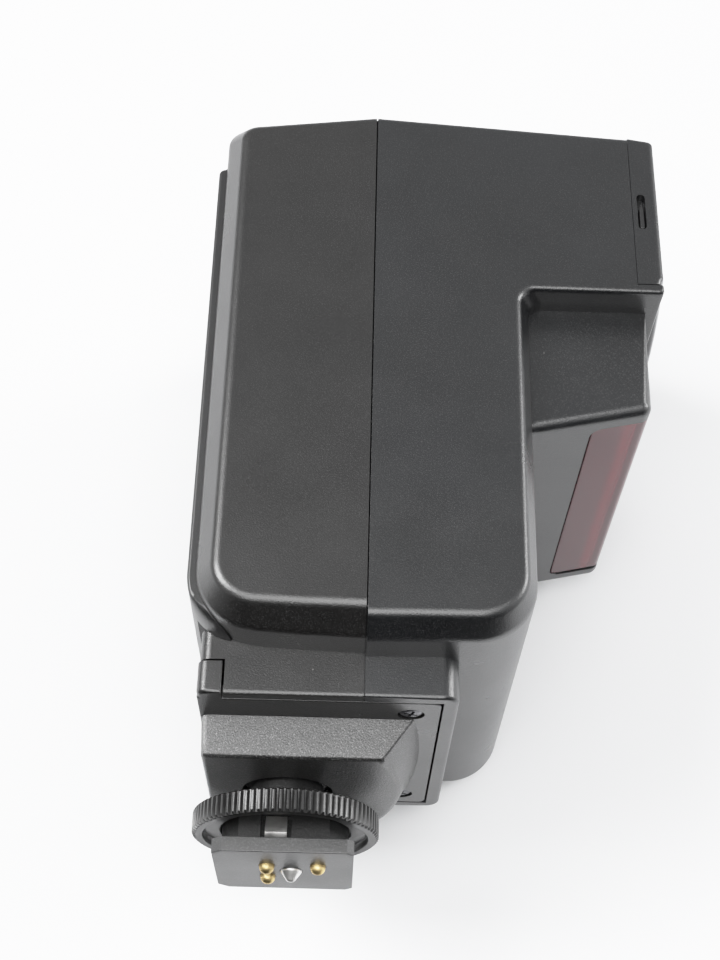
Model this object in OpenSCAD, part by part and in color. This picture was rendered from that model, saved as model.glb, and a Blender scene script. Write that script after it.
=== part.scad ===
// Shoe-mount electronic flash gun, lying on its left side panel.
// +Z is up from the table, +Y runs from the shoe foot to the head, +X is the front.
// Inside the modules the origin is on the foot underside, in the middle plane.

/* [Case] */
// Half width of the case, middle plane to side face
half_w = 32; // [29:0.5:35]
// Half width at the end of the sloped edge band
band_w = 28.4; // [26:0.2:30]
// Front-to-back position of the parting line between the two case halves
seam_x = 7.5; // [4:0.5:11]
// Width of the groove along the parting line
seam_gap = 0.3; // [0.2:0.05:0.6]
// Height of the roof ridge above the foot underside
top_y = 105.3; // [98:0.1:110]
// Wall thickness of the moulded case
wall = 1.8; // [1.2:0.1:2.6]

/* [Head and lamp block] */
// Front of the head bezel at the side faces
head_x = 48; // [44:0.5:52]
// Underside of the head above the foot underside
head_y = 73.8; // [70:0.1:78]
// Half width of the focus lamp block under the head
lamp_w = 26.5; // [22:0.5:28]
// Front face of the focus lamp block
lamp_x = 46.3; // [42:0.1:48]

/* [Base and foot] */
// Half width of the base block
base_w = 23; // [20:0.5:25]
// Lower face of the base block above the foot underside
base_y = 16.4; // [15:0.1:18]
// Side length of the square shoe foot
foot_size = 18.6; // [18:0.1:18.7]
// Thickness of the shoe foot
foot_t = 2; // [1.8:0.05:2.1]
// Middle of the foot, front to back
foot_x = -2.5; // [-4:0.1:0]
// Outer radius of the knurled lock wheel
wheel_r = 12.7; // [11:0.1:14]
// Number of teeth on the lock wheel
wheel_teeth = 84; // [60:2:100]

/* [Part to show] */
// Name of the piece to show, or all

/* [Hidden] */
$fn = 64;
// where the part frame's origin is in the design frame
org_x = 16.5;
org_y = 51.9;
// clearance of pins and posts in their bores, measured on the radius
fit = 0.05;
// case: rear face, floor of the case, hollow behind the edge band and behind the side face
rear_x = -14.5;
floor_y = 22.2;
band_in = band_w - 1.6;
side_in = half_w - wall;
lip_gap = 0.15;
lip_t = 1.0;
// head: bezel seat, lens bow, lens opening, flash tube axis
seat_x = 44.2;
seat_y = 74.9;
lens_x = 49.9;
lens_r = 260;
lens_y = [79.4, 97.0];
lens_w = 27;
tube_at = [34.2, 88.2];
focus_y = 66;
// rear panel and controls, as heights and sideways places
panel_x = -15.7;
panel_w = 27.5;
panel_top = 96.9;
corner_at = [-6.5, 31];
scale_y = [83, 94];
scale_w = 23;
lamp_y = 78.2;
lamp_z = [9, 18];
lamp_r = 1.58;
slot_y = 72;
slot_z = [-16, 0];
slot_half = [1.6, 4.6];
knob_travel = 5;
button_at = [69.6, 18];
button_r = 2.65;
flange_r = 3.3;
board_x = -10.6;
board_t = 1.4;
board_screw_at = [[79.4, 22.8], [79.4, -22.8], [96.2, 21.8], [96.2, -21.8]];
board_screw_r = 0.95;
// battery door, its hinge and latch
hinge = [-15.0, 34.8];
hinge_r = 0.5;
door_w = 23.9;
door_top = 64.9;
latch_w = 4.95;
nose_w = 2.95;
// cells and other inner parts
cell_r = 7.1;
cell_pitch = 14.7;
cell_at = [-3.6, 42.55];
cap_at = [12.2, 84.6];
cap_rim_r = 9.4;
coil_at = [-1.5, 93.5];
power_y = [29.0, 30.6];
// base cover, its screws, pedestal and foot
cover_w = 20.9;
knuckle_x = -10.7;
screw_at = [13.7, 16.9];
ped_y = 11.0;
nut_r = 7.9;
nut_t = 2.4;
wheel_y0 = 4.4;
wheel_y1 = 7.7;
tooth_h = 0.45;
post_r = 8.6;
post_w = 6.15;
post_top_r = 6.2;
post_y = 8.4;
plug_y = 20.8;
// contacts: middle pin, then the three small ones, in X and Z
mid_pin = [-1.5, 0];
small_pins = [[-4.7, 2.6], [-4.7, -2.6], [2.1, 2.7]];
mid_r = 1.45;
small_r = 1.02;
pin_seat_y = 3.2;
shoulder = 0.2;

// points along an arc, from angle a to angle b
function arc(c, r, a, b, n = 7) = [for (i = [0:n]) [c[0] + r * cos(a + (b - a) * i / n),
  c[1] + r * sin(a + (b - a) * i / n)]];

module place() translate([-org_x, -org_y, half_w]) children();
module slab(h) translate([0, 0, -h]) linear_extrude(2 * h) children();
module box(x0, x1, y0, y1, z0, z1) translate([x0, y0, z0]) cube([x1 - x0, y1 - y0, z1 - z0]);
module cyl_y(x, z, y0, y1, r) translate([x, y0, z]) rotate([-90, 0, 0]) cylinder(h = y1 - y0, r = r);
module cyl_x(y, z, x0, x1, r) translate([x0, y, z]) rotate([0, 90, 0]) cylinder(h = x1 - x0, r = r);
module cyl_z(x, y, z0, z1, r) translate([x, y, z0]) cylinder(h = z1 - z0, r = r);
// rectangle with round corners, from two bars and four discs
module round_rect(x0, x1, y0, y1, r) {
  translate([x0 + r, y0]) square([x1 - x0 - 2 * r, y1 - y0]);
  translate([x0, y0 + r]) square([x1 - x0, y1 - y0 - 2 * r]);
  for (x = [x0 + r, x1 - r], y = [y0 + r, y1 - r]) translate([x, y]) circle(r);
}
// plate facing the rear: outline in (Z, Y), thickness along X
module rear_plate(x0, x1, z0, z1, y0, y1, r)
  translate([x0, 0, 0]) rotate([0, 90, 0]) linear_extrude(x1 - x0) round_rect(-z1, -z0, y0, y1, r);
// plate facing the foot: outline in (X, Z), thickness along Y
module low_plate(y0, y1, x0, x1, z0, z1, r)
  translate([0, y0, 0]) rotate([-90, 0, 0]) linear_extrude(y1 - y0) round_rect(x0, x1, -z1, -z0, r);

// outlines of the rear case half, e is how far the outline is pulled in
function rear_outline(e, x1) = concat([[x1, 22.3 + e * 1.12]], [[-6.6, 22.9 + e]],
  arc(corner_at, 8 - e * 0.95, 268, 180), arc([rear_x + e + 2.4, top_y - 4.7 - e * 0.6], 2.4, 180, 96, 5),
  [[x1, top_y - e * 0.6]]);
function column_outline(e, x0) = concat([[x0, top_y - e * 0.6], [x0, 21.9 + e]], [[21.3, 22.1 + e]],
  [for (a = [273:7.25:360]) [21.3 + (8 - e * 0.6) * cos(a), 30.1 + (8 - e) * sin(a)]],
  [[29.3 - e * 0.6, top_y - 1.8 - e * 0.6]]);
function head_outline(e, x0) = [[x0, top_y - 0.9 - e * 0.6], [x0, head_y - e * 0.1 + 0.1],
  [head_x - 0.4, head_y - e * 0.1], [head_x, head_y + 0.6], [head_x + 0.2 - e * 0.08, top_y - 3.3 - e * 0.6],
  [head_x - 0.4, top_y - 2.9 - e * 0.6]];

module rear_shell() color([0.10, 0.10, 0.10]) place() difference() {
  union() {
    hull() {
      slab(band_w) polygon(rear_outline(0, seam_x - seam_gap / 2));
      slab(half_w) polygon(rear_outline(2.6, seam_x - seam_gap / 2));
    }
    low_plate(base_y, 26, -13.7, 3, -base_w, base_w, 1.5);
    box(0, seam_x - seam_gap / 2, base_y, 26, -base_w, base_w);
  }
  // main hollow, in two steps that follow the sloped edge band
  slab(band_in) polygon([[20, 24.2], [-6, 24.6], [-11, 27], [rear_x + wall, 33], [rear_x + wall, 100],
    [-11, 102.3], [20, 103.4]]);
  slab(side_in) polygon([[20, 26.9], [-5, 27.2], [-9, 30], [-10.1, 34], [-10.1, 99.5], [20, 101.7]]);
  // hollow of the base block and the seat of the base cover
  box(-10.6, 20, base_y - 1, floor_y, -base_w + wall, base_w - wall);
  box(-4, 4, 18, 30, -5, 5);
  box(rear_x, knuckle_x + 0.3, base_y - 1, plug_y + 0.2, -base_w - 1, base_w + 1);
  // openings behind the rear panel: controls and cells
  box(-18, -8, 67.6, 76, -25, 25);
  box(-18, -8, 75, 83, -20.8, 20.8);
  box(-18, -8, 82.8, 95, -25, 25);
  for (p = board_screw_at) cyl_x(p[0], p[1], -13.8, -12, board_screw_r + fit);
  cyl_x(button_at[0], button_at[1], -13.75, -12, flange_r + 0.2);
  cyl_x(button_at[0], button_at[1], -15, -13, button_r + 0.1);
  box(-18, -8, 33.6, 66.0, -25.2, 25.2);
  box(-13.85, -8, 65, 68, -nose_w - 0.55, nose_w + 0.55);
}

// the hollow next to the parting line, e is how far it is pulled in
module rim_hollow(x0, x1, e) {
  slab(band_in - e) translate([x0, 24.6 + e]) square([x1 - x0, 78.2 - 2 * e]);
  slab(side_in - e) translate([x0, 27.2 + e]) square([x1 - x0, 73.3 - 2 * e]);
}

module front_shell() color([0.11, 0.11, 0.11]) place() difference() {
  union() {
    // locating lip that enters the rear half behind the parting line
    rim_hollow(5.6, 8, lip_gap);
    hull() {
      slab(band_w) polygon(column_outline(0, seam_x + seam_gap / 2));
      slab(half_w) polygon(column_outline(2.6, seam_x + seam_gap / 2));
    }
    hull() {
      slab(band_w) polygon(head_outline(0, 20));
      slab(half_w) polygon(head_outline(2.6, 20));
    }
    slab(lamp_w) polygon([[27, 53.5], [30.5, 54.3], [lamp_x - 0.6, 57.7], [lamp_x, 58.4], [lamp_x, 76],
      [27, 76]]);
    low_plate(base_y, 26, 10, 19.5, -base_w, base_w, 2);
    box(seam_x + seam_gap / 2, 16, base_y, 26, -base_w, base_w);
  }
  // column hollow, in two steps that follow the sloped edge band
  slab(band_in) polygon([[9.6, 24.1], [21.5, 24.2], [27.4, 30], [27.4, 102], [9.6, 102]]);
  slab(side_in) polygon([[9.6, 26.6], [20.5, 26.8], [25.8, 32], [25.8, 101.4], [9.6, 101.4]]);
  rim_hollow(5, 9.7, lip_gap + lip_t);
  // head hollow, open at the front
  slab(side_in) polygon([[22, 76.4], [60, 76.4], [60, 98.9], [40, 99.6], [22, 101]]);
  // seat of the bezel
  box(seat_x, 60, seat_y, 110, -40, 40);
  // lamp block hollow and the window opening at the front and underneath
  slab(lamp_w - 1.9) polygon([[26, 57], [37.9, 58.6], [37.9, 50], [60, 50], [60, 73.4], [26, 73.4]]);
  // base hollow and the seat of the base cover
  difference() {
    box(0, 19.5 - wall, base_y - 1, floor_y, -base_w + wall, base_w - wall);
    for (s = [-1, 1]) cyl_y(screw_at[0], screw_at[1] * s, 18.3, 28, 2.4);
  }
  for (s = [-1, 1]) cyl_y(screw_at[0], screw_at[1] * s, 18, 25.2, 1.0);
}

function bezel_outline(drop) = [[seat_x + 0.1, seat_y + 0.15], [54, seat_y + 0.15], [54, top_y - 3.9 - drop],
  [seat_x + 0.1, top_y - 2.6 - drop]];

module head_bezel() color([0.10, 0.10, 0.10]) place() difference() {
  intersection() {
    hull() {
      slab(band_w) polygon(bezel_outline(0));
      slab(half_w) polygon(bezel_outline(1.6));
    }
    translate([lens_x - lens_r, 60, 0]) rotate([-90, 0, 0]) cylinder(h = 60, r = lens_r, $fn = 360);
  }
  // lens opening with a step behind it
  box(43, 60, lens_y[0], lens_y[1], -lens_w, lens_w);
  box(43, 46.8, lens_y[0] - 1.4, lens_y[1] + 1, -lens_w - 1.6, lens_w + 1.6);
  // catch slots on both sides
  for (s = [-1, 1]) box(44.95, 46.05, 84.7, 90.7, s * 31.4 - 1, s * 31.4 + 1);
}

module flash_lens() color([0.90, 0.92, 0.94, 0.5]) place() {
  difference() {
    intersection() {
      box(46.9, 52, lens_y[0] + 0.15, lens_y[1] - 0.15, -lens_w + 0.15, lens_w - 0.15);
      translate([lens_x - 0.5 - lens_r, 60, 0]) rotate([-90, 0, 0]) cylinder(h = 60, r = lens_r, $fn = 360);
    }
    box(46, 47.7, lens_y[0] + 1.2, lens_y[1] - 1.2, -lens_w + 1.2, lens_w - 1.2);
  }
}

module reflector() color([0.80, 0.80, 0.82]) place()
  slab(24.6) polygon(concat(arc(tube_at, 4.4, 118, 242, 8), [[45.6, 80.2], [45.6, 79.5]],
    arc(tube_at, 5.1, 242, 118, 8), [[45.6, 96.9], [45.6, 96.2]]));

module flash_tube() color([0.85, 0.88, 0.90, 0.6]) place() {
  cyl_z(tube_at[0], tube_at[1], -22.5, 22.5, 2.0);
  for (s = [-1, 1]) cyl_z(tube_at[0], tube_at[1], s * 23.75 - 1.25, s * 23.75 + 1.25, 1.2);
}

module tube_caps() color([0.75, 0.75, 0.72]) place() for (s = [-1, 1]) difference() {
  union() {
    cyl_z(tube_at[0], tube_at[1], s * 26.6 - 1.6, s * 26.6 + 1.6, 2.6);
    box(31.2, 45.4, 81, 95.4, s * 25.2 - 0.3, s * 25.2 + 0.3);
  }
  cyl_z(tube_at[0], tube_at[1], s * 24.8 - 1.0, s * 24.8 + 1.0, 1.35);
}

module trigger_coil() color([0.55, 0.28, 0.12]) place() {
  cyl_z(coil_at[0], coil_at[1], -20, -9, 3.6);
  for (z = [-20.8, -9]) cyl_z(coil_at[0], coil_at[1], z, z + 0.8, 4.3);
}

module focus_window() color([0.45, 0.03, 0.07, 0.8]) place() difference() {
  slab(lamp_w - 2.05) polygon([[38.05, 56.1], [lamp_x - 0.6, 57.85], [lamp_x, 58.5], [lamp_x, 73.2],
    [38.05, 73.2]]);
  slab(22.9) polygon([[30, 57.4], [38.5, 57.7], [44.7, 59.2], [44.7, 80], [30, 80]]);
}

// plano-convex condenser with a mounting flange
module focus_lens() color([0.9, 0.9, 0.92, 0.6]) place()
  translate([36.4, focus_y, 0]) rotate([0, 90, 0]) rotate_extrude()
    polygon(concat([[0, 0], [6.3, 0], [6.3, 1], [5.5, 1]],
      [for (a = [32:-4:0]) [10.4 * sin(a), 10.4 * cos(a) - 6.4]]));

module focus_lamp() color([0.30, 0.02, 0.03]) place() {
  cyl_x(focus_y, 0, 30.5, 35.0, 2.5);
  cyl_x(focus_y, 0, 29.6, 30.5, 3.0);
}

// the panel's foot, which follows the lower rear corner of the case and thins out to its edge
function panel_wrap() = concat([for (a = [180:4:244]) let (r = 9.2 - 0.95 * pow(max(0, (a - 208) / 36), 1.6))
  [corner_at[0] + r * cos(a), corner_at[1] + r * sin(a)]], arc(corner_at, 8.02, 244, 180, 16));

module rear_panel() color([0.08, 0.08, 0.08]) place() difference() {
  union() {
    rear_plate(panel_x, rear_x - 0.02, -panel_w, panel_w, 60, panel_top, 2);
    box(panel_x, rear_x - 0.02, corner_at[1], 92, -panel_w, panel_w);
    slab(panel_w) polygon(panel_wrap());
  }
  // scale window, lamps, button and switch slots
  rear_plate(-17, -14, -scale_w, scale_w, scale_y[0], scale_y[1], 1);
  cyl_x(button_at[0], button_at[1], -17, -14, button_r + 0.1);
  for (z = lamp_z) cyl_x(lamp_y, z, -17, -14, lamp_r + 0.07);
  for (z = slot_z) rear_plate(-17, -14, z - slot_half[1], z + slot_half[1],
    slot_y - slot_half[0], slot_y + slot_half[0], 1);
  // opening for the battery door and its hinge barrel
  box(-17, -14, 33.6, door_top + 0.3, -door_w - 0.3, door_w + 0.3);
  cyl_z(hinge[0], hinge[1], -26.5, 26.5, hinge_r + fit);
  // room for the base block under the case
  box(-17, -5, 20, 26.15, -base_w - 0.15, base_w + 0.15);
}

module scale_plate() color([0.78, 0.78, 0.74]) place()
  rear_plate(-14.45, -13.85, -scale_w + 0.4, scale_w - 0.4, scale_y[0] + 0.4, scale_y[1] - 0.4, 0.6);
module scale_window() color([0.8, 0.82, 0.84, 0.4]) place()
  rear_plate(-15.6, -14.5, -scale_w + 0.15, scale_w - 0.15, scale_y[0] + 0.15, scale_y[1] - 0.15, 0.9);

module slide_knob(z) {
  rear_plate(-16.9, -14.4, z - 1.9, z + 1.9, slot_y - 1.4, slot_y + 1.4, 0.5);
  rear_plate(-14.4, -13.6, z - 3.2, z + 3.2, slot_y - 2.6, slot_y + 2.6, 0.5);
}
module power_switch() color([0.75, 0.75, 0.72]) place() slide_knob(slot_z[0] - knob_travel / 2);
module mode_switch() color([0.75, 0.75, 0.72]) place() slide_knob(slot_z[1] - knob_travel / 2);

module test_button() color([0.16, 0.16, 0.17]) place() {
  cyl_x(button_at[0], button_at[1], -16.35, -13.6, button_r);
  cyl_x(button_at[0], button_at[1], -13.6, -12.9, flange_r);
}
module lamp_dome(z) {
  cyl_x(lamp_y, z, -15.75, -13.2, lamp_r);
  translate([-14.0, lamp_y, z]) intersection() {
    sphere(r = 2.2, $fn = 48);
    rotate([0, -90, 0]) cylinder(h = 4, r = 1.4);
  }
}
module ready_lamp() color([0.9, 0.3, 0.08]) place() lamp_dome(lamp_z[1]);
module level_lamp() color([0.15, 0.6, 0.2]) place() lamp_dome(lamp_z[0]);

module control_board() color([0.09, 0.28, 0.14]) place() difference() {
  box(board_x, board_x + board_t, 68.6, 98.6, -24.4, 24.4);
  for (p = board_screw_at) cyl_x(p[0], p[1], -12, -8, board_screw_r + 0.1);
}
module control_chips() color([0.06, 0.06, 0.06]) place() {
  box(board_x + board_t, -7.2, 76, 88, -18, -6);
  box(board_x + board_t, -7.6, 74, 81, 6, 18);
  for (z = [-15.5, -1.0]) box(-12.9, board_x, 69.2, 74.6, z - 5.2, z + 5.2);
  box(-11.8, board_x, 69.0, 72.4, 15, 20.5);
  for (z = lamp_z) cyl_x(lamp_y, z, -13.0, board_x, 1.4);
}
module board_screws() color([0.7, 0.7, 0.72]) place()
  for (p = board_screw_at) {
    cyl_x(p[0], p[1], -13.6, board_x + board_t, board_screw_r);
    cyl_x(p[0], p[1], board_x + board_t, board_x + board_t + 1, 2 * board_screw_r);
  }

module battery_door() color([0.09, 0.09, 0.09]) place() difference() {
  union() {
    box(panel_x, -14.3, hinge[1], door_top, -door_w, door_w);
    cyl_z(hinge[0], hinge[1], -door_w, door_w, 2 * hinge_r);
    // finger ribs under the latch
    for (y = [49, 51, 53]) box(panel_x - 0.5, panel_x + 0.2, y, y + 0.9, -9, 9);
  }
  cyl_z(hinge[0], hinge[1], -30, 30, hinge_r + fit);
  // pocket for the sliding latch
  box(-17, -14.8, 56.9, 63.1, -latch_w - 0.15, latch_w + 0.15);
  box(-17, -14, 58.4, 70, -nose_w - 0.15, nose_w + 0.15);
}
module door_pin() color([0.72, 0.72, 0.74]) place() cyl_z(hinge[0], hinge[1], -26.3, 26.3, hinge_r);
module door_latch() color([0.13, 0.13, 0.14]) place() {
  box(-15.75, -14.85, 58.6, 63.0, -latch_w, latch_w);
  box(-14.9, -13.6, 60.1, 63.4, -nose_w, nose_w);
  box(-13.75, -12.9, 60.1, 64.8, -nose_w, nose_w);
  for (y = [59.2, 60.7, 62.2]) box(-16.3, -15.7, y, y + 0.6, -4, 4);
}

module battery_box() color([0.14, 0.14, 0.15]) place() difference() {
  box(-9.9, 19.4, 34.0, 65.4, -28.6, 28.6);
  box(-14, 18.4, 35.0, 64.8, -27.6, 27.6);
}
module cells() color([0.85, 0.62, 0.18]) place()
  for (i = [0, 1], j = [0, 1]) {
    s = (i + j) % 2 == 0 ? 1 : -1;
    translate([cell_at[0] + cell_pitch * i, cell_at[1] + cell_pitch * j, 0]) {
      translate([0, 0, s > 0 ? -25.2 : -23.8]) cylinder(h = 49.0, r = cell_r);
      translate([0, 0, s > 0 ? 23.8 : -25.2]) cylinder(h = 1.4, r = 2.7);
    }
  }
module cell_plates() color([0.78, 0.78, 0.80]) place()
  for (i = [0, 1], j = [0, 1]) {
    s = (i + j) % 2 == 0 ? 1 : -1;
    translate([cell_at[0] + cell_pitch * i, cell_at[1] + cell_pitch * j, s * 26.6])
      difference() {
        translate([-5, -5, -0.9]) cube([10, 10, 1.8]);
        translate([-4, -6, -0.4 - s * 1.0]) cube([8, 12, 0.8 + 1.2]);
      }
  }
// flat leaf springs, bent to a bow, that press on the flat ends of the cells
module cell_springs() color([0.80, 0.78, 0.70]) place()
  for (i = [0, 1], j = [0, 1]) {
    s = (i + j) % 2 == 0 ? -1 : 1;
    translate([cell_at[0] + cell_pitch * i, cell_at[1] + cell_pitch * j, s * 27.45])
      rotate([0, 90, 0]) rotate([0, 0, 90]) translate([0, 0, -2.2]) linear_extrude(4.4)
        polygon([[-5, 0], [-5, 0.15 * s], [0, -1.6 * s], [5, 0.15 * s], [5, 0],
          [4.2, -0.15 * s], [0, -1.95 * s], [-4.2, -0.15 * s]]);
  }

module main_capacitor() color([0.06, 0.07, 0.10]) place() difference() {
  cyl_z(cap_at[0], cap_at[1], -22.5, 22.5, 10.6);
  cyl_z(cap_at[0], cap_at[1], 20.9, 23, cap_rim_r);
}
module capacitor_cap() color([0.62, 0.62, 0.62]) place() {
  cyl_z(cap_at[0], cap_at[1], 20.9, 22.0, cap_rim_r - fit);
  for (s = [-1, 1]) cyl_z(cap_at[0] + 2.6 * s, cap_at[1], 22.0, 25.6, 0.5);
}
module power_board() color([0.35, 0.22, 0.08]) place() box(-8.8, 24.5, power_y[0], power_y[1], -25.4, 25.4);
module transformer() color([0.50, 0.30, 0.14]) place() {
  box(-4.6, 0.0, 70.2, 82.2, 6.2, 20.2);
  box(-5.6, 0.8, 68.6, 70.2, 5.2, 21.2);
  box(-5.6, 0.8, 82.2, 83.6, 5.2, 21.2);
}
module transistors() color([0.05, 0.05, 0.05]) place() {
  for (s = [-1, 1]) {
    box(19.6, 24.0, 34, 44, 9 * s - 5, 9 * s + 5);
    box(21.4, 22.6, power_y[1], 34, 9 * s - 3, 9 * s + 3);
  }
}

module base_cover() color([0.09, 0.09, 0.09]) place() difference() {
  union() {
    low_plate(base_y, 18.2, -13.9, 17.5, -cover_w, cover_w, 1.2);
    box(-13.9, knuckle_x, base_y, plug_y, -base_w, base_w);
  }
  for (s = [-1, 1]) {
    cyl_y(screw_at[0], screw_at[1] * s, 15, 19, 1.15);
    cyl_y(screw_at[0], screw_at[1] * s, 15, 17.3, 1.75);
  }
  cyl_y(foot_x, 0, 15, 19, post_top_r + fit);
}
module base_screws() color([0.15, 0.15, 0.16]) place() for (s = [-1, 1]) difference() {
  union() {
    cyl_y(screw_at[0], screw_at[1] * s, 16.5, 17.3, 1.6);
    cyl_y(screw_at[0], screw_at[1] * s, 17.3, 24.6, 0.9);
  }
  // cross recess
  for (h = [[1, 0.22], [0.22, 1]])
    box(screw_at[0] - h[0], screw_at[0] + h[0], 16, 17.0, screw_at[1] * s - h[1], screw_at[1] * s + h[1]);
}

// nut that holds the shoe foot in the base cover
module foot_nut() color([0.70, 0.70, 0.72]) place() difference() {
  translate([foot_x, 18.25, 0]) rotate([-90, 0, 0]) cylinder(h = nut_t, r = nut_r, $fn = 6);
  cyl_y(foot_x, 0, 18, 21, post_top_r + fit);
}

// pedestal with a bulged front, sloping in towards the foot
module foot_block() color([0.12, 0.12, 0.12]) place() difference() {
  hull() {
    translate([0, base_y - 0.5, 0]) rotate([-90, 0, 0]) linear_extrude(0.48)
      polygon(concat([[-13.7, -15], [-13.7, 15]], arc([-41.85, 0], 57.25, 15.19, -15.19, 10)));
    translate([0, ped_y, 0]) rotate([-90, 0, 0]) linear_extrude(0.5)
      polygon(concat([[-13.5, -14], [-13.5, 14]], arc([-39.53, 0], 52.53, 15.46, -15.46, 10)));
  }
  cyl_y(foot_x, 0, 10, 17, post_top_r + fit);
}

// square with large chamfers at the rear corners and small ones at the front
function foot_outline(h, c, d) = [[-h, c - h], [c - h, -h], [h - d, -h], [h, d - h], [h, h - d], [h - d, h],
  [c - h, h], [-h, h - c]];

module shoe_foot() color([0.13, 0.13, 0.14]) place() difference() {
  union() {
    translate([0, 0, 0]) rotate([-90, 0, 0]) linear_extrude(foot_t)
      translate([foot_x, 0]) polygon(foot_outline(foot_size / 2, 1.4, 0.9));
    intersection() {
      cyl_y(foot_x, 0, 1, post_y, post_r);
      box(-20, 20, 0, 12, -post_w, post_w);
    }
    cyl_y(foot_x, 0, post_y - 0.5, plug_y, post_top_r);
  }
  // bores of the sprung contacts
  cyl_y(mid_pin[0], mid_pin[1], -1, 8.4, mid_r + fit);
  cyl_y(mid_pin[0], mid_pin[1], pin_seat_y, 8.4, mid_r + 0.3);
  for (p = small_pins) {
    cyl_y(p[0], p[1], -1, 7.6, small_r + 0.06);
    cyl_y(p[0], p[1], pin_seat_y, 7.6, small_r + 0.28);
  }
  // slot of the ground spring in the side of the post
  box(-5.6, -1.5, foot_t - 0.6, 6.0, 4.9, 7);
}

module lock_wheel() color([0.10, 0.10, 0.10]) place() difference() {
  translate([foot_x, wheel_y0, 0]) rotate([-90, 0, 0]) linear_extrude(wheel_y1 - wheel_y0)
    polygon([for (i = [0:wheel_teeth - 1], k = [0:3])
      let (a = (i + [0, 0.2, 0.5, 0.7][k]) * 360 / wheel_teeth, r = wheel_r - tooth_h * [1, 0, 0, 1][k]) [r * cos(a), r * sin(a)]]);
  cyl_y(foot_x, 0, 4, 8, post_r + 0.36);
  cyl_y(foot_x, 0, 4, 5.3, 11.2);
}

module round_pin(at, r, tip) {
  x = at[0];
  z = at[1];
  cyl_y(x, z, -tip + r * 0.62, 3.15, r);
  translate([x, -tip + r * 0.62, z]) rotate([90, 0, 0]) rotate_extrude()
    polygon([[0, 0], [r, 0], [r * 0.9, r * 0.26], [r * 0.62, r * 0.47], [r * 0.3, r * 0.59], [0, r * 0.62]]);
  cyl_y(x, z, pin_seat_y - 0.1, pin_seat_y + 0.1, r);
  cyl_y(x, z, pin_seat_y + 0.05, 4.6, r + shoulder);
}
module center_pin() color([0.80, 0.80, 0.80]) place() round_pin(mid_pin, mid_r, 1.5);
module rear_pin_right() color([0.78, 0.60, 0.25]) place() round_pin(small_pins[0], small_r, 1.15);
module rear_pin_left() color([0.78, 0.60, 0.25]) place() round_pin(small_pins[1], small_r, 1.15);
module front_pin() color([0.78, 0.60, 0.25]) place() round_pin(small_pins[2], small_r, 1.15);

module ground_spring() color([0.80, 0.80, 0.82]) place()
  translate([-5.0, 0, 0]) rotate([0, 90, 0]) rotate([0, 0, 90]) linear_extrude(2.9)
    polygon([[2.05, 5.1], [2.4, 5.5], [3.4, 6.35], [4.4, 5.9], [5.9, 5.0], [5.9, 5.25], [4.5, 6.15],
      [3.4, 6.65], [2.3, 5.75], [1.75, 5.3]]);

rear_shell();
front_shell();
head_bezel();
flash_lens();
reflector();
flash_tube();
tube_caps();
trigger_coil();
focus_window();
focus_lens();
focus_lamp();
rear_panel();
scale_plate();
scale_window();
power_switch();
mode_switch();
test_button();
ready_lamp();
level_lamp();
control_board();
control_chips();
battery_door();
door_pin();
door_latch();
battery_box();
cells();
cell_springs();
cell_plates();
main_capacitor();
capacitor_cap();
power_board();
transformer();
transistors();
base_cover();
base_screws();
foot_nut();
foot_block();
shoe_foot();
lock_wheel();
center_pin();
rear_pin_right();
rear_pin_left();
front_pin();
ground_spring();
board_screws();
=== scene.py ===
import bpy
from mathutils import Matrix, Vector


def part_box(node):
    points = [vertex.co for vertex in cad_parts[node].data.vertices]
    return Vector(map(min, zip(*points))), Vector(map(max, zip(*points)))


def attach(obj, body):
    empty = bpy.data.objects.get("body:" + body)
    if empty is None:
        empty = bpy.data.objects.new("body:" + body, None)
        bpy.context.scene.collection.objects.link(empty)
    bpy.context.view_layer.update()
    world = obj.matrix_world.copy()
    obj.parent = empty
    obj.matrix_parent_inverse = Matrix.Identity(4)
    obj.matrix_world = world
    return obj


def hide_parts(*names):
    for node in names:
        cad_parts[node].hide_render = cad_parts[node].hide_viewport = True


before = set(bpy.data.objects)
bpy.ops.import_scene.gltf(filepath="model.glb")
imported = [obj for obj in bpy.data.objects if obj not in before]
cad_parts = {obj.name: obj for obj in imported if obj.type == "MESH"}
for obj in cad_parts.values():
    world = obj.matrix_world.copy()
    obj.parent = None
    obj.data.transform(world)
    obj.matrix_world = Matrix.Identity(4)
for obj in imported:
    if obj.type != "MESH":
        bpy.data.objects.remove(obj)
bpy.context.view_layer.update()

import math
import bpy
import bmesh
from mathutils import Matrix, Vector

# Shapes are drawn in millimetres in the design frame: origin on the foot underside in the middle plane,
# X to the front, Y to the head, Z across. FOOT_CORNER is where the foot's lowest corner is in that frame.
MM = 0.001
FOOT_CORNER = Vector((-11.8, 0.0, -9.3))
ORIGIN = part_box("shoe_foot")[0] - FOOT_CORNER * MM
TO_FRAME = Matrix.Translation(ORIGIN) @ Matrix.Scale(MM, 4)

WELD, SLIVER = 1e-4, 1e-5      # points closer than the one are joined, edges shorter than the other dissolved
NEAR = 1e-3                    # a point this close to a plane is on it
MITRE_LIMIT = 0.35             # keeps the inset of a very sharp corner short


# ------------------------------ outlines
def arc(cx, cy, r, a, b, n=8):
    return [(cx + r * math.cos(math.radians(a + (b - a) * i / n)),
             cy + r * math.sin(math.radians(a + (b - a) * i / n))) for i in range(n + 1)]


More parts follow.
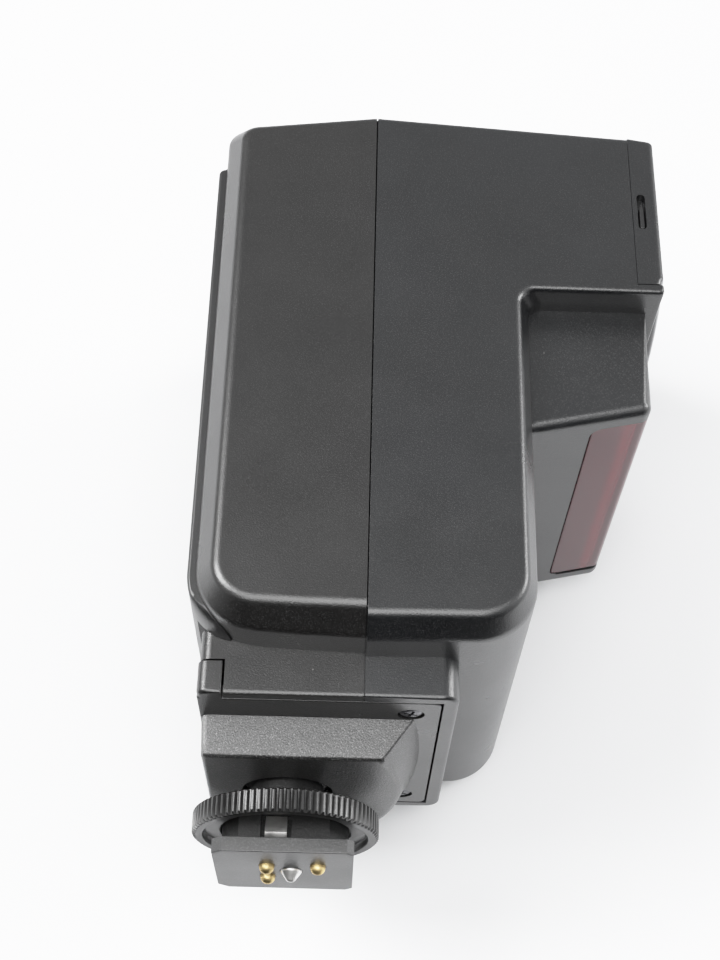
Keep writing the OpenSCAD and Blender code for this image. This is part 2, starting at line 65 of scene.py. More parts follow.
def rounded(points, seg=5):
    """Polygon from (x, y, corner radius) points."""
    out = []
    for i, (x, y, r) in enumerate(points):
        p = Vector((x, y))
        if r <= 0:
            out.append((x, y))
            continue
        a = (Vector(points[i - 1][:2]) - p).normalized()
        b = (Vector(points[(i + 1) % len(points)][:2]) - p).normalized()
        half = a.angle(b) / 2
        c = p + (a + b).normalized() * (r / math.sin(half))
        s, e = p + a * (r / math.tan(half)) - c, p + b * (r / math.tan(half)) - c
        a0 = math.atan2(s.y, s.x)
        turn = (math.atan2(e.y, e.x) - a0 + math.pi) % (2 * math.pi) - math.pi
        out += [(c.x + r * math.cos(a0 + turn * k / seg), c.y + r * math.sin(a0 + turn * k / seg))
                for k in range(seg + 1)]
    return out


def rect(x0, x1, y0, y1, r=0.0, seg=5):
    return rounded([(x0, y0, r), (x1, y0, r), (x1, y1, r), (x0, y1, r)], seg)


def inset(poly, d, fixed=None):
    """Each corner moved inwards by d; fixed maps a corner's index to its own shift."""
    n = len(poly)
    area = sum(poly[i - 1][0] * poly[i][1] - poly[i][0] * poly[i - 1][1] for i in range(n))
    side = 1 if area > 0 else -1
    out = []
    for i in range(n):
        if fixed and i in fixed:
            out.append((poly[i][0] + fixed[i][0], poly[i][1] + fixed[i][1]))
            continue
        p, a, b = Vector(poly[i]), Vector(poly[i - 1]), Vector(poly[(i + 1) % n])
        e1, e2 = (p - a).normalized(), (b - p).normalized()
        n1, n2 = Vector((-e1.y, e1.x)) * side, Vector((-e2.y, e2.x)) * side
        m = (n1 + n2) / max(1 + n1.dot(n2), MITRE_LIMIT)
        out.append((p.x + m.x * d, p.y + m.y * d))
    return out


# ------------------------------ meshes, in millimetres
def place(name, data):
    """A new object in the scene."""
    o = bpy.data.objects.new(name, data)
    bpy.context.scene.collection.objects.link(o)
    return o


def to_object(bm):
    bmesh.ops.remove_doubles(bm, verts=bm.verts, dist=WELD)
    bmesh.ops.dissolve_degenerate(bm, edges=bm.edges, dist=SLIVER)
    bmesh.ops.recalc_face_normals(bm, faces=bm.faces)
    me = bpy.data.meshes.new("piece")
    bm.to_mesh(me)
    bm.free()
    return place("piece", me)


def skin(rings):
    """Closed solid through rings of the same number of points."""
    bm = bmesh.new()
    vs = [[bm.verts.new(p) for p in ring] for ring in rings]
    n = len(rings[0])
    for a, b in zip(vs, vs[1:]):
        for i in range(n):
            j = (i + 1) % n
            bm.faces.new((a[i], a[j], b[j], b[i]))
    bm.faces.new(list(reversed(vs[0])))
    bm.faces.new(vs[-1])
    return to_object(bm)


def put(poly, level, axis):
    """2-D outline placed at a level along an axis: z takes (x, y), y takes (x, z), x takes (z, y)."""
    if axis == "z":
        return [(a, b, level) for a, b in poly]
    if axis == "y":
        return [(a, level, b) for a, b in poly]
    return [(level, b, a) for a, b in poly]


def prism(poly, lo, hi, axis="z", r_lo=0.0, r_hi=0.0, keep=None, seg=4):
    """Prism with rounded rims; keep(x, y) says which corners stay where they are at the rims."""
    fixed = {i: (0, 0) for i, p in enumerate(poly) if keep and keep(*p)}
    rings = []
    for k in range(seg + 1 if r_lo else 0):
        a = math.pi / 2 * k / seg
        rings.append(put(inset(poly, r_lo * (1 - math.sin(a)), fixed), lo + r_lo * (1 - math.cos(a)), axis))
    if not r_lo:
        rings.append(put(poly, lo, axis))
    if not r_hi:
        rings.append(put(poly, hi, axis))
    for k in range(seg + 1 if r_hi else 0):
        a = math.pi / 2 * (1 - k / seg)
        rings.append(put(inset(poly, r_hi * (1 - math.sin(a)), fixed), hi - r_hi * (1 - math.cos(a)), axis))
    return skin(rings)


def block(x0, x1, y0, y1, z0, z1, r=0.0, seg=3):
    """Box with all its edges rounded."""
    if r <= 0:
        return prism(rect(x0, x1, y0, y1), z0, z1)
    return prism(rect(x0, x1, y0, y1, r * 1.001, seg), z0, z1, "z", r, r, None, seg)


# where a point (u, v) of a round body goes, by the axis that the body turns about
AROUND = {"x": lambda u, v, at: (at, u, v),
          "y": lambda u, v, at: (u, at, v),
          "z": lambda u, v, at: (u, v, at)}


def lathe(profile, u, v, n=48, axis="y"):
    """Round body about an axis at (u, v): profile of (radius, place along the axis)."""
    circle = [(math.cos(2 * math.pi * i / n), math.sin(2 * math.pi * i / n)) for i in range(n)]
    return skin([[AROUND[axis](u + r * c, v + r * s, at) for c, s in circle] for r, at in profile])


def bake(o):
    bpy.context.view_layer.update()
    me = bpy.data.meshes.new_from_object(o.evaluated_get(bpy.context.evaluated_depsgraph_get()))
    o.modifiers.clear()
    o.data = me
    return o


def combine(o, tools, how):
    for t in tools:
        m = o.modifiers.new("b", "BOOLEAN")
        m.object, m.operation, m.solver = t, how, "EXACT"
        bake(o)
        bpy.data.objects.remove(t)
    return o


def cut(o, *tools):
    return combine(o, tools, "DIFFERENCE")


def fuse(o, *tools):
    return combine(o, tools, "UNION")


def together(*objects):
    """One object of several separate solids."""
    bm = bmesh.new()
    for o in objects:
        bm.from_mesh(o.data)
    for o in objects:
        bpy.data.objects.remove(o)
    return to_object(bm)


def round_edges(o, pick, width, seg=2, limit=25):
    """Rounds the sharp edges that pick(middle, edge) names."""
    bm = bmesh.new()
    bm.from_mesh(o.data)
    edges = [e for e in bm.edges if len(e.link_faces) == 2
             and abs(e.calc_face_angle(0)) > math.radians(limit)
             and pick((e.verts[0].co + e.verts[1].co) / 2, e)]
    if edges:
        bmesh.ops.bevel(bm, geom=edges, offset=width, offset_type="OFFSET", segments=seg, profile=0.5,
                        affect="EDGES", clamp_overlap=True)
    bm.to_mesh(o.data)
    bm.free()
    return o


FACE_WEIGHT = 80               # large flat faces decide the shading of the rounded edges beside them


def piece(name, o, body, mat, replaces=(), sharp=32):
    """Names a finished shape, gives it its look and puts it on its body."""
    bm = bmesh.new()
    bm.from_mesh(o.data)
    bmesh.ops.remove_doubles(bm, verts=bm.verts, dist=WELD)
    bmesh.ops.dissolve_degenerate(bm, edges=bm.edges, dist=WELD)
    bm.to_mesh(o.data)
    bm.free()
    o.data.transform(TO_FRAME)
    o.name = o.data.name = name
    o.data.polygons.foreach_set("use_smooth", [True] * len(o.data.polygons))
    o.data.set_sharp_from_angle(angle=math.radians(sharp))
    m = o.modifiers.new("normals", "WEIGHTED_NORMAL")
    m.keep_sharp = True
    m.weight = FACE_WEIGHT
    bake(o)
    o.data.name = name
    o.data.materials.clear()
    o.data.materials.append(mat)
    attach(o, body)
    if replaces:
        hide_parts(*replaces)
    return o


# ------------------------------ materials
BLACK, WHITE = (0, 0, 0, 1), (1, 1, 1, 1)
MIX_FACTOR, MIX_A, MIX_B, MIX_COLOUR = 0, 6, 7, 2    # the Mix node's colour sockets, found by number
NOISE_LOW, NOISE_HIGH = 0.3, 0.7                     # most of a noise lies between these


def shader(name, **values):
    m = bpy.data.materials.new(name)
    m.use_nodes = True
    b = m.node_tree.nodes["Principled BSDF"]
    for key, v in values.items():
        b.inputs[key.replace("_", " ")].default_value = v
    return m, m.node_tree, b


def node(nt, kind, inputs=None, **attrs):
    """A shader node; an input that is another node's output is linked, any other is set."""
    n = nt.nodes.new("ShaderNode" + kind)
    for k, v in attrs.items():
        setattr(n, k, v)
    for k, v in (inputs or {}).items():
        if isinstance(v, bpy.types.NodeSocket):
            nt.links.new(v, n.inputs[k])
        else:
            n.inputs[k].default_value = v
    return n


def coords(nt):
    return node(nt, "TexCoord").outputs["Object"]


def generated(nt, axis):
    """Place along an axis of the piece's own box, from 0 to 1."""
    return node(nt, "SeparateXYZ", {"Vector": node(nt, "TexCoord").outputs["Generated"]}).outputs[axis]


def noise(nt, size_mm, detail=2.0, rough=0.5, vector=None):
    return node(nt, "TexNoise", {"Vector": vector or coords(nt), "Scale": 1000.0 / size_mm, "Detail": detail,
                                 "Roughness": rough}).outputs["Fac"]


def ramp(nt, fac, lo, hi, c0=BLACK, c1=WHITE):
    r = node(nt, "ValToRGB", {"Fac": fac})
    e = r.color_ramp.elements
    e[0].position, e[1].position = lo, hi
    e[0].color, e[1].color = c0, c1
    return r.outputs["Color"]


def mix(nt, fac, a, b, how="MIX"):
    sockets = {MIX_FACTOR: fac, MIX_A: a, MIX_B: b}
    return node(nt, "Mix", sockets, data_type="RGBA", blend_type=how).outputs[MIX_COLOUR]


def maths(nt, how, a, b):
    return node(nt, "Math", {0: a, 1: b}, operation=how).outputs[0]


def rgb(r, g, b):
    return (r, g, b, 1.0)


def shade(color, factor):
    return rgb(*[c * factor for c in color])


def colour_with(nt, b, color):
    nt.links.new(color, b.inputs["Base Color"])


def roughen(nt, b, value, lo, hi):
    """Roughness that goes from lo to hi with a noise."""
    r = node(nt, "MapRange", {"Value": value, "From Min": NOISE_LOW, "From Max": NOISE_HIGH,
                              "To Min": lo, "To Max": hi})
    nt.links.new(r.outputs["Result"], b.inputs["Roughness"])


def emboss(nt, b, height, strength, distance):
    """Relief that follows a height; distance is its depth in metres."""
    bump = node(nt, "Bump", {"Height": height, "Strength": strength, "Distance": distance})
    nt.links.new(bump.outputs["Normal"], b.inputs["Normal"])


MOTTLE_MM, WEAR_MM = 26, 9                # sizes of the slow changes in colour and in gloss
DUST_PER_METRE = 260.0
DUST = rgb(0.42, 0.41, 0.39)


def moulded(name, color, roughness=0.42, grain=0.22, depth=0.35, warm=(1.0, 0.97, 0.94), dust=0.25, spec=0.5,
            painted_glint=0.035, relief=0.00012):
    """Spark-textured moulded plastic: sandy relief (grain in millimetres), slow mottling, dust specks, and
    painted glints: lighter specks in the colour where the rough surface would catch the light.
    """
    m, nt, b = shader(name, Roughness=roughness, Specular_IOR_Level=spec)
    slow, fine = noise(nt, MOTTLE_MM, 3), noise(nt, grain, 2.5, 0.6)
    light = rgb(*[c * 1.25 * w for c, w in zip(color, warm)])
    body = mix(nt, ramp(nt, slow, 0.35, 0.68), shade(color, 0.80), light)
    # painted glints: lighter specks mixed into the colour stand in for the sparkle of the sandy surface
    glint_specks = ramp(nt, noise(nt, grain * 0.75, 1.0, 0.5), 0.54, 0.74, BLACK, (0.9, 0.9, 0.9, 1))
    body = mix(nt, glint_specks, body, rgb(*[min(c + painted_glint, 1) for c in color]))
    cell = node(nt, "TexVoronoi", {"Vector": coords(nt), "Scale": DUST_PER_METRE})
    speck = ramp(nt, cell.outputs["Distance"], 0.022, 0.034, WHITE, BLACK)
    rare = ramp(nt, node(nt, "SeparateColor", {"Color": cell.outputs["Color"]}).outputs["Red"], 0.80, 0.84)
    where = mix(nt, 1.0, speck, rare, "MULTIPLY")
    where = mix(nt, 1.0, where, rgb(dust, dust, dust), "MULTIPLY")
    colour_with(nt, b, mix(nt, where, body, DUST))
    roughen(nt, b, noise(nt, WEAR_MM, 3), roughness - 0.02, roughness + 0.03)
    emboss(nt, b, fine, depth, relief)
    return m


def metal(name, color, roughness=0.25, streak=(1, 1, 1), scale=0.4, depth=0.12):
    """Bare or plated metal with faint brushing and tarnish."""
    m, nt, b = shader(name, Metallic=1.0, Roughness=roughness)
    v = node(nt, "Mapping", {"Vector": coords(nt), "Scale": streak}).outputs["Vector"]
    fine = noise(nt, scale, 3, 0.6, v)
    tarnish = ramp(nt, noise(nt, 2.4, 3), 0.38, 0.72)
    colour_with(nt, b, mix(nt, tarnish, rgb(*color), shade(color, 0.72)))
    roughen(nt, b, fine, roughness - 0.08, roughness + 0.12)
    emboss(nt, b, fine, depth, 0.00004)
    return m


def clear(name, color, roughness=0.06, transmission=1.0, ior=1.49, smear=0.08):
    """Clear or tinted window with faint smears."""
    m, nt, b = shader(name, Transmission_Weight=transmission, IOR=ior)
    v = noise(nt, 6, 3)
    colour_with(nt, b, mix(nt, ramp(nt, v, NOISE_LOW, NOISE_HIGH), rgb(*color), shade(color, 0.93)))
    roughen(nt, b, v, roughness, roughness + smear)
    return m


CASE = moulded("case_plastic", (0.0050, 0.0048, 0.0047), 0.29, 0.22, 0.5, spec=0.97, painted_glint=0.026,
               relief=0.00006)
CASE_FRONT = moulded("case_plastic_front", (0.0044, 0.0048, 0.0054), 0.29, 0.22, 0.5, (0.97, 1.0, 1.05),
                     spec=0.97, painted_glint=0.026, relief=0.00006)
BASE = moulded("base_plastic", (0.0055, 0.0054, 0.0052), 0.32, 0.24, 0.8, spec=1.0, painted_glint=0.13,
               relief=0.00008)
PANEL = moulded("panel_plastic", (0.0060, 0.0060, 0.0064), 0.38, 0.24, 0.5, dust=0.12, spec=0.9, painted_glint=0.012,
                relief=0.00005)
FOOT = moulded("foot_plastic", (0.014, 0.0142, 0.0145), 0.38, 0.30, 0.5, dust=0.3, spec=1.0, painted_glint=0.03,
               relief=0.00006)
WHEEL = moulded("wheel_plastic", (0.0075, 0.0075, 0.0075), 0.33, 0.3, 0.3, dust=0.35, spec=0.8, painted_glint=0.015,
                relief=0.00004)
POST = moulded("post_plastic", (0.004, 0.004, 0.004), 0.45, 0.4, 0.3, dust=0.2, spec=0.45, painted_glint=0.01)
INNER = moulded("inner_plastic", (0.012, 0.012, 0.013), 0.5, 0.4, 0.3, dust=0.0)
KNOB = moulded("knob_plastic", (0.30, 0.30, 0.29), 0.42, 0.2, 0.2, dust=0.0)
BUTTON = moulded("button_plastic", (0.045, 0.045, 0.047), 0.38, 0.2, 0.15, dust=0.0)
WINDOW = clear("clear_window", (0.93, 0.94, 0.95), 0.05)
STEEL = metal("spring_steel", (0.62, 0.62, 0.63), 0.28)
SCREW = metal("screw_metal", (0.17, 0.17, 0.18), 0.35)
SILVER = metal("contact_silver", (0.93, 0.92, 0.90), 0.40, scale=1.5, depth=0.03)
GOLD = metal("contact_gold", (0.86, 0.66, 0.32), 0.42, scale=0.8, depth=0.05)

# ------------------------------ case
HALF, BAND, BEVEL = 32.0, 28.4, 2.6      # side face, start of the sloped edge band, how far it leans in
R_FACE = 0.95                            # rounding between a side face and its band
TOP, WALL = 105.3, 1.8
BACK_X = -14.5
CORNER_X, CORNER_Y = -6.5, 31            # centre of the case's rounded lower rear corner
COLUMN_X, HEAD_Y = 29.3, 73.8            # front of the case below the head, underside of the head
SEAM_REAR, SEAM_FRONT = 7.41, 7.59       # the two rims of the parting line
SEAM_EASE = 0.08
ROOF = 0.0727                            # fall of the roof from the ridge to the bezel
BEZEL_X, BEZEL_Y = 44.2, 74.9            # seat of the bezel
BASE_W, BASE_Y = 23.0, 16.4              # base block: half its width, its underside
BASE_BACK, BASE_FRONT, BASE_RIM = -13.7, 19.7, 0.55
BASE_TOP = 25.0                          # the block reaches up into the case


def banded(path, r_face, r_band=0.7, fixed=None, levels=(HALF, BAND), seg=5):
    """Rings of a body whose outline leans in by a sloped band next to both side faces, all edges eased."""
    outer, inner = path(0.0), path(BEVEL)
    face = inset(inner, r_face, fixed)
    half = []
    for (ax, ay), (bx, by), (fx, fy) in zip(outer, inner, face):
        a, b = Vector((ax, ay, levels[1])), Vector((bx, by, levels[0]))
        f = Vector((fx, fy, levels[0]))
        long = max((a - b).length, 1e-6)
        p2, q0 = b.lerp(a, r_face / long), a.lerp(b, r_band / long)
        q2 = a - Vector((0, 0, r_band))
        line = []
        for u, v, w in ((f, b, p2), (q0, a, q2)):
            line += [u * (1 - t) ** 2 + v * 2 * t * (1 - t) + w * t * t
                     for t in [k / seg for k in range(seg + 1)]]
        half.append(line)
    upper = [[h[k] for h in half] for k in range(len(half[0]))]
    lower = [[Vector((p.x, p.y, -p.z)) for p in ring] for ring in reversed(upper)]
    return upper + lower


def on_plane(x):
    """For round_edges: picks edges that lie in the plane at x."""
    return lambda mid, e: all(abs(v.co.x - x) < NEAR for v in e.verts)


def rear_path(e):
    """Outline of the rear half, drawn in by the edge band's lean e."""
    return ([(SEAM_REAR, 22.3 + e * 1.12), (-1.0, 22.55 + e * 1.06), (-6.6, 22.9 + e)]
            + arc(CORNER_X, CORNER_Y, 8 - e * 0.95, 266, 180, 14)
            + [(BACK_X + e, 66.0)]
            + arc(-12.1 + e, TOP - 4.7 - e * 0.6, 2.4, 180, 97, 8)
            + [(SEAM_REAR, TOP - e * 0.6)])


def front_path(e):
    """Outline of the front half with the head, drawn in by the edge band's lean e."""
    xc, yh = COLUMN_X - 0.6 * e, HEAD_Y - 0.1 * e

    def roof(x):
        return TOP - 0.6 * e - ROOF * (x - SEAM_FRONT)
    return ([(SEAM_FRONT, 21.9 + 0.78 * e), (14.0, 22.0 + 0.78 * e), (21.3, 22.1 + 0.78 * e)]
            + [(21.3 + (8 - e * 0.6) * math.cos(math.radians(a)),
                30.1 + (8 - 0.78 * e) * math.sin(math.radians(a))) for a in range(276, 361, 6)]
            + [(xc, 52.0)]
            + arc(xc + 2, yh - 2, 2.0, 180, 90, 7)
            + [(47.35, yh), (47.8, yh + 0.16), (48.0, yh + 0.6), (48.0, BEZEL_Y), (BEZEL_X, BEZEL_Y),
               (BEZEL_X, roof(BEZEL_X)), (SEAM_FRONT, roof(SEAM_FRONT))])


# how the corners at the parting line, and from the ridge round the bezel's seat, move at the side faces
rear_shifts = {0: (0, R_FACE), len(rear_path(0)) - 1: (0, -R_FACE)}
seat_shifts = [(0, -R_FACE), (0, -R_FACE), (0, 0), (-0.5, 0), (-0.5, 0.3), (-0.35, 0.62), (-0.2, 0.72)]
front_shifts = {len(front_path(0)) - 1 - k: shift for k, shift in enumerate(seat_shifts)}
front_shifts[0] = (0, R_FACE)
rear = skin(banded(rear_path, R_FACE, fixed=rear_shifts))
round_edges(rear, on_plane(SEAM_REAR), SEAM_EASE)
front = skin(banded(front_path, R_FACE, fixed=front_shifts))
round_edges(front, on_plane(SEAM_FRONT), SEAM_EASE)
round_edges(front, lambda mid, e: on_plane(BEZEL_X)(mid, e) and mid.y > BEZEL_Y + 0.2, 0.07)

# base block under the case, split by the same parting line
rear_outline = rounded([(SEAM_REAR, -BASE_W, 0), (SEAM_REAR, BASE_W, 0),
                        (BASE_BACK, BASE_W, 1.5), (BASE_BACK, -BASE_W, 1.5)], 5)
front_outline = rounded([(SEAM_FRONT, -BASE_W, 0), (BASE_FRONT, -BASE_W, 2.2),
                         (BASE_FRONT, BASE_W, 2.2), (SEAM_FRONT, BASE_W, 0)], 6)
for half, outline, seam in ((rear, rear_outline, SEAM_REAR), (front, front_outline, SEAM_FRONT)):
    fuse(half, prism(outline, BASE_Y, BASE_TOP, "y", BASE_RIM, 0, lambda x, z: abs(x - seam) < NEAR))

# focus lamp block under the head
LAMP_W, LAMP_X = 26.5, 46.3
LAMP_BACK, LAMP_TOP = 26.5, 77.0         # the block reaches back and up into the front half
lamp_outline = rounded([(LAMP_BACK, 53.4, 0), (30.5, 54.3, 0), (LAMP_X - 0.05, 57.75, 1.6),
                        (LAMP_X, LAMP_TOP, 0), (LAMP_BACK, LAMP_TOP, 0)], 6)
fuse(front, prism(lamp_outline, -LAMP_W, LAMP_W, "z", 1.5, 1.5,
                  lambda x, y: x < LAMP_BACK + 0.5 or y > LAMP_TOP - 1, 7))


def lamp_corner(mid, e):
    """Inner corners where the lamp block meets the column and the head."""
    side = abs(abs(mid.z) - LAMP_W) < 0.02
    on_column, on_head = abs(mid.x - COLUMN_X) < 0.02, abs(mid.y - HEAD_Y) < 0.02
    beside = side and (on_column and 55 < mid.y < HEAD_Y + 0.1 or on_head and mid.x > COLUMN_X - 0.3)
    return beside or on_column and mid.y < 56 and abs(mid.z) < LAMP_W


round_edges(front, lambda mid, e: lamp_corner(mid, e) and abs(mid.z) > LAMP_W - 0.5, 0.45, 4, 15)
round_edges(front, lambda mid, e: lamp_corner(mid, e) and abs(mid.z) < LAMP_W - 0.5, 1.3, 6, 15)

# hollows and openings, as in the CAD part; the hollow is wider where it is clear of the edge band
ROOM_W, NARROW_W, FOOT_W = 30.2, 26.8, 21.2
BACK_CUT = (-18, -8)                     # through the rear wall
WINDOW_W = 23.7
AHEAD = 60                               # well in front of the part
back_wall = BACK_X + WALL


def window_shape(x, r, top):
    """Upright block as wide as the red window, with rounded corners at x."""
    return prism(rounded([(x, -WINDOW_W, r), (AHEAD, -WINDOW_W, 0), (AHEAD, WINDOW_W, 0), (x, WINDOW_W, r)]),
                 50, top, "y")


cut(rear,
    prism([(20, 24.2), (-6, 24.6), (-11, 27), (back_wall, 33), (back_wall, 100), (-11, 102.3), (20, 103.4)],
          -NARROW_W, NARROW_W),
    prism([(20, 26.9), (-5, 27.2), (-9, 30), (-10.1, 34), (-10.1, 99.5), (20, 101.7)], -ROOM_W, ROOM_W),
    block(-10.6, 20, 15, 22.2, -FOOT_W, FOOT_W),
    block(BACK_X, -10.4, 15, 21.0, -24, 24),         # seat of the base cover's upturned end
    block(*BACK_CUT, 67.6, 76, -25, 25),             # switches
    block(*BACK_CUT, 75, 83, -20.8, 20.8),           # lamps
    block(*BACK_CUT, 82.8, 95, -25, 25),             # scale
    block(*BACK_CUT, 33.6, 66.0, -25.2, 25.2),       # battery door
    block(-13.85, -8, 65, 68, -3.5, 3.5))            # latch
cut(front,
    prism([(8.3, 24.1), (21.5, 24.2), (27.4, 30), (27.4, 102), (8.3, 102)], -NARROW_W, NARROW_W),
    prism([(8.3, 26.9), (20.5, 26.9), (25.8, 32), (25.8, 101.2), (8.3, 101.2)], -ROOM_W, ROOM_W),
    prism([(22, 76.4), (AHEAD, 76.4), (AHEAD, 98.9), (40, 99.6), (22, 101)], -ROOM_W, ROOM_W),
    prism([(26, 57), (37.9, 58.6), (44.6, 60.0), (44.6, 73.4), (26, 73.4)], -24.6, 24.6),
    window_shape(38.0, 1.8, 60),
    prism([(43, 56), (AHEAD, 56), (AHEAD, 71.4), (43, 71.4)], -WINDOW_W, WINDOW_W),
    prism([(7, 15), (17.75, 15), (17.75, 22.2), (7, 22.2)], -21.15, 21.15))


# the halves meet just under the surface, so the parting line is a shallow groove
def rib_path(drop):
    """Outline of the strip behind the groove, a drop below the surface."""
    return lambda e: rect(SEAM_REAR + 0.02, SEAM_FRONT + 0.6, 22.2 + e * 1.1 + drop, TOP - e * 0.6 - drop)


rib = skin(banded(rib_path(0.16), 0.3, 0.3, levels=(HALF - 0.5, BAND - 0.2)))
cut(rib, skin(banded(rib_path(1.9), 0.3, 0.3, levels=(HALF - 2.0, BAND - 1.6))))
base_rib = prism(rect(SEAM_REAR + 0.02, SEAM_FRONT + 0.6, BASE_Y + 0.2, 22.7), -BASE_W + 0.2, BASE_W - 0.2)
fuse(rib, cut(base_rib, prism(rect(7, 9, 15, 24), -BASE_W + WALL, BASE_W - WALL)))
fuse(front, rib)


def lip_part(x0, x1, inside):
    """Cross of two prisms that follows both widths of the hollow, smaller by inside."""
    narrow, wide = NARROW_W - 0.15 - inside, ROOM_W - 0.15 - inside
    return (prism(rect(x0, x1, 24.75 + inside, 102.65 - inside), -narrow, narrow),
            prism(rect(x0, x1, 27.35 + inside, 100.35 - inside), -wide, wide))


# locating lip of the front half, behind the parting line
fuse(front, cut(fuse(*lip_part(5.6, 9.4, 0)), *lip_part(5, 12, 1)))
piece("case_rear", rear, "flash_body", CASE, ["rear_shell"])
piece("case_front", front, "flash_body", CASE_FRONT, ["front_shell"])

# ------------------------------ head bezel and flash window
LENS_R, LENS_X = 260.0, 49.9             # curve of the head's face and its foremost place
SILL_Y = 75.04                           # underside of the bezel
LENS_W, LENS_LOW, LENS_HIGH = 27, 79.4, 97.0   # opening for the flash window
LENS_GAP = 0.15


def bulge(z, x=LENS_X):
    """Front of the curved head face at z."""
    return x - (LENS_R - math.sqrt(LENS_R ** 2 - z * z))


def bezel_ring(z, lean, shrink):
    """Outline of the bezel at z, leaned in with the case's edge band and pulled in at the side face."""
    xf, back = bulge(z) - shrink, BEZEL_X + 0.06

    def roof(x):
        return 102.7 - 0.134 * (x - 44.3) - 0.6 * lean - shrink
    r = 0.55
    outline = ([(back, SILL_Y), (47.4 - shrink * 0.4, SILL_Y)]
               + arc(xf - r - 0.3, SILL_Y + r, r, -90, 0, 4)[:-1]
               + [(xf - 0.28, SILL_Y + r + 0.15), (xf, 76.3), (xf, roof(xf) - 1.2)]
               + arc(xf - 0.8, roof(xf) - 0.8, 0.8, 0, 84, 5)
               + [(back, roof(back))])
    return put(outline, z, "z")


def side_steps():
    """Stations from the middle to a side face: (z, lean, shrink)."""
    steps = [(BAND * k / 12, 0.0, 0.0) for k in range(12)]
    steps += [(BAND - 0.6, 0.0, 0.0), (BAND, 0.06, 0.0), (BAND + 0.6, 0.42, 0.0)]
    for k in range(7):
        s, c = math.sin(math.pi / 2 * k / 6), math.cos(math.pi / 2 * k / 6)
        steps.append((HALF - 0.8 * (1 - s), 2.02 + 0.58 * s * 0.6, 0.8 * (1 - c) ** 1.5))
    return steps


def mirrored(ring, stations):
    """Rings from one side face to the other; the first station is the middle."""
    return ([ring(-z, *rest) for z, *rest in reversed(stations[1:])]
            + [ring(z, *rest) for z, *rest in stations])


bezel = skin(mirrored(bezel_ring, side_steps()))
round_edges(bezel, lambda mid, e: abs(mid.x - BEZEL_X - 0.06) < 0.01 and mid.y > 75.3, 0.06)
cut(bezel, block(43, 60, LENS_LOW, LENS_HIGH, -LENS_W, LENS_W), block(43, 46.8, 78.0, 98.0, -28.6, 28.6))


def lens_rim(mid, e):
    """Front edges of the opening for the flash window."""
    inside = LENS_LOW - 0.1 < mid.y < LENS_HIGH + 0.1 and abs(mid.z) < LENS_W + 0.05
    on_rim = min(abs(mid.y - LENS_LOW), abs(mid.y - LENS_HIGH), abs(abs(mid.z) - LENS_W)) < 0.01
    return mid.x > 48 and inside and on_rim


round_edges(bezel, lens_rim, 0.35, 3)


def side_prism(side, outline, near, far, r=0.0):
    """Prism across one side face, between two distances from the middle plane."""
    return prism(outline, min(side * near, side * far), max(side * near, side * far), "z", r, r)


hooks = []
for side in (-1, 1):
    cut(bezel, side_prism(side, rect(44.95, 46.15, 84.6, 90.7, 0.55), 30.6, 33))
    hooks.append(side_prism(side, rect(45.3, 46.0, 85.0, 88.9, 0.3), 30.65, 31.6, 0.15))
piece("head_frame", bezel, "flash_body", CASE_FRONT, ["head_bezel"])
piece("head_catches", together(*hooks), "flash_body", PANEL)

# flash window: bowed outside face with fine upright prism ribs
RIBS, RIB_STEPS, RIB_H = 46, 4, 0.16
half_w, low, high = LENS_W - LENS_GAP, LENS_LOW + LENS_GAP, LENS_HIGH - LENS_GAP
rings = []
for i in range(RIBS * RIB_STEPS + 1):
    z = -half_w + 2 * half_w * i / (RIBS * RIB_STEPS)
    ribbed = RIB_STEPS <= i <= (RIBS - 1) * RIB_STEPS
    wave = RIB_H * (0.5 - 0.5 * math.cos(2 * math.pi * i / RIB_STEPS)) if ribbed else 0.0
    x = bulge(z, LENS_X - 0.55) + wave
    rings.append([(47.75, low, z), (x - 0.35, low, z), (x - 0.1, low + 0.1, z), (x, low + 0.4, z),
                  (x, high - 0.4, z), (x - 0.1, high - 0.1, z), (x - 0.35, high, z), (47.75, high, z)])
piece("flash_window", skin(rings), "flash_body", WINDOW, ["flash_lens"], 60)

# red focus window, wrapped round the lower front edge of the lamp block, with a painted highlight: a lighter
# red streak up its face
RED = clear("red_window", (0.13, 0.006, 0.016), 0.07, 0.6, 1.62, 0.05)
red_nt = RED.node_tree
red_body = red_nt.nodes["Principled BSDF"].inputs["Base Color"]
# painted highlight: a band of lighter red at a fixed place along the window, in its colour
streak = mix(red_nt, 1.0, ramp(red_nt, generated(red_nt, "X"), 0.52, 0.66),
             ramp(red_nt, generated(red_nt, "X"), 0.68, 0.82, WHITE, BLACK), "MULTIPLY")
red_nt.links.new(mix(red_nt, streak, red_body.links[0].from_socket, rgb(0.30, 0.006, 0.02)), red_body)
WINDOW_X = 38.12
window_outline = rounded([(WINDOW_X, 56.16, 0.3), (LAMP_X - 0.05, 57.98, 1.3), (LAMP_X, 71.28, 0.5),
                          (WINDOW_X, 71.28, 0.3)], 6)
red_window = prism(window_outline, -WINDOW_W + 0.12, WINDOW_W - 0.12, "z", 0.35, 0.35)
combine(red_window, [window_shape(WINDOW_X, 1.7, 80)], "INTERSECT")
hollow = rounded([(30, 57.6, 0), (38.5, 57.9, 0), (44.7, 59.4, 0.8), (44.7, 80, 0), (30, 80, 0)])
cut(red_window, prism(hollow, -22.2, 22.2))
piece("focus_cover", red_window, "flash_body", RED, ["focus_window"])

# ------------------------------ rear panel and its controls
PX0, PX1 = -15.7, -14.52                 # outside and inside of the panel
PANEL_TOP, PANEL_R = 96.9, 0.9
PANEL_CUT = (-17, -14)                   # through the panel
FRAME_X = (PX0 - 0.25, PX0 + 0.1)        # raised frames on it
SWITCH_Y, SWITCH_ZS = 72.0, (-16, 0)     # middles of the two slots
SWITCH_REACH = 2.5                       # how far a knob goes to each side of them
TEST_Y, TEST_Z = 69.6, 18
LAMP_Y, READY_Z, LEVEL_Z = 78.2, 18, 9


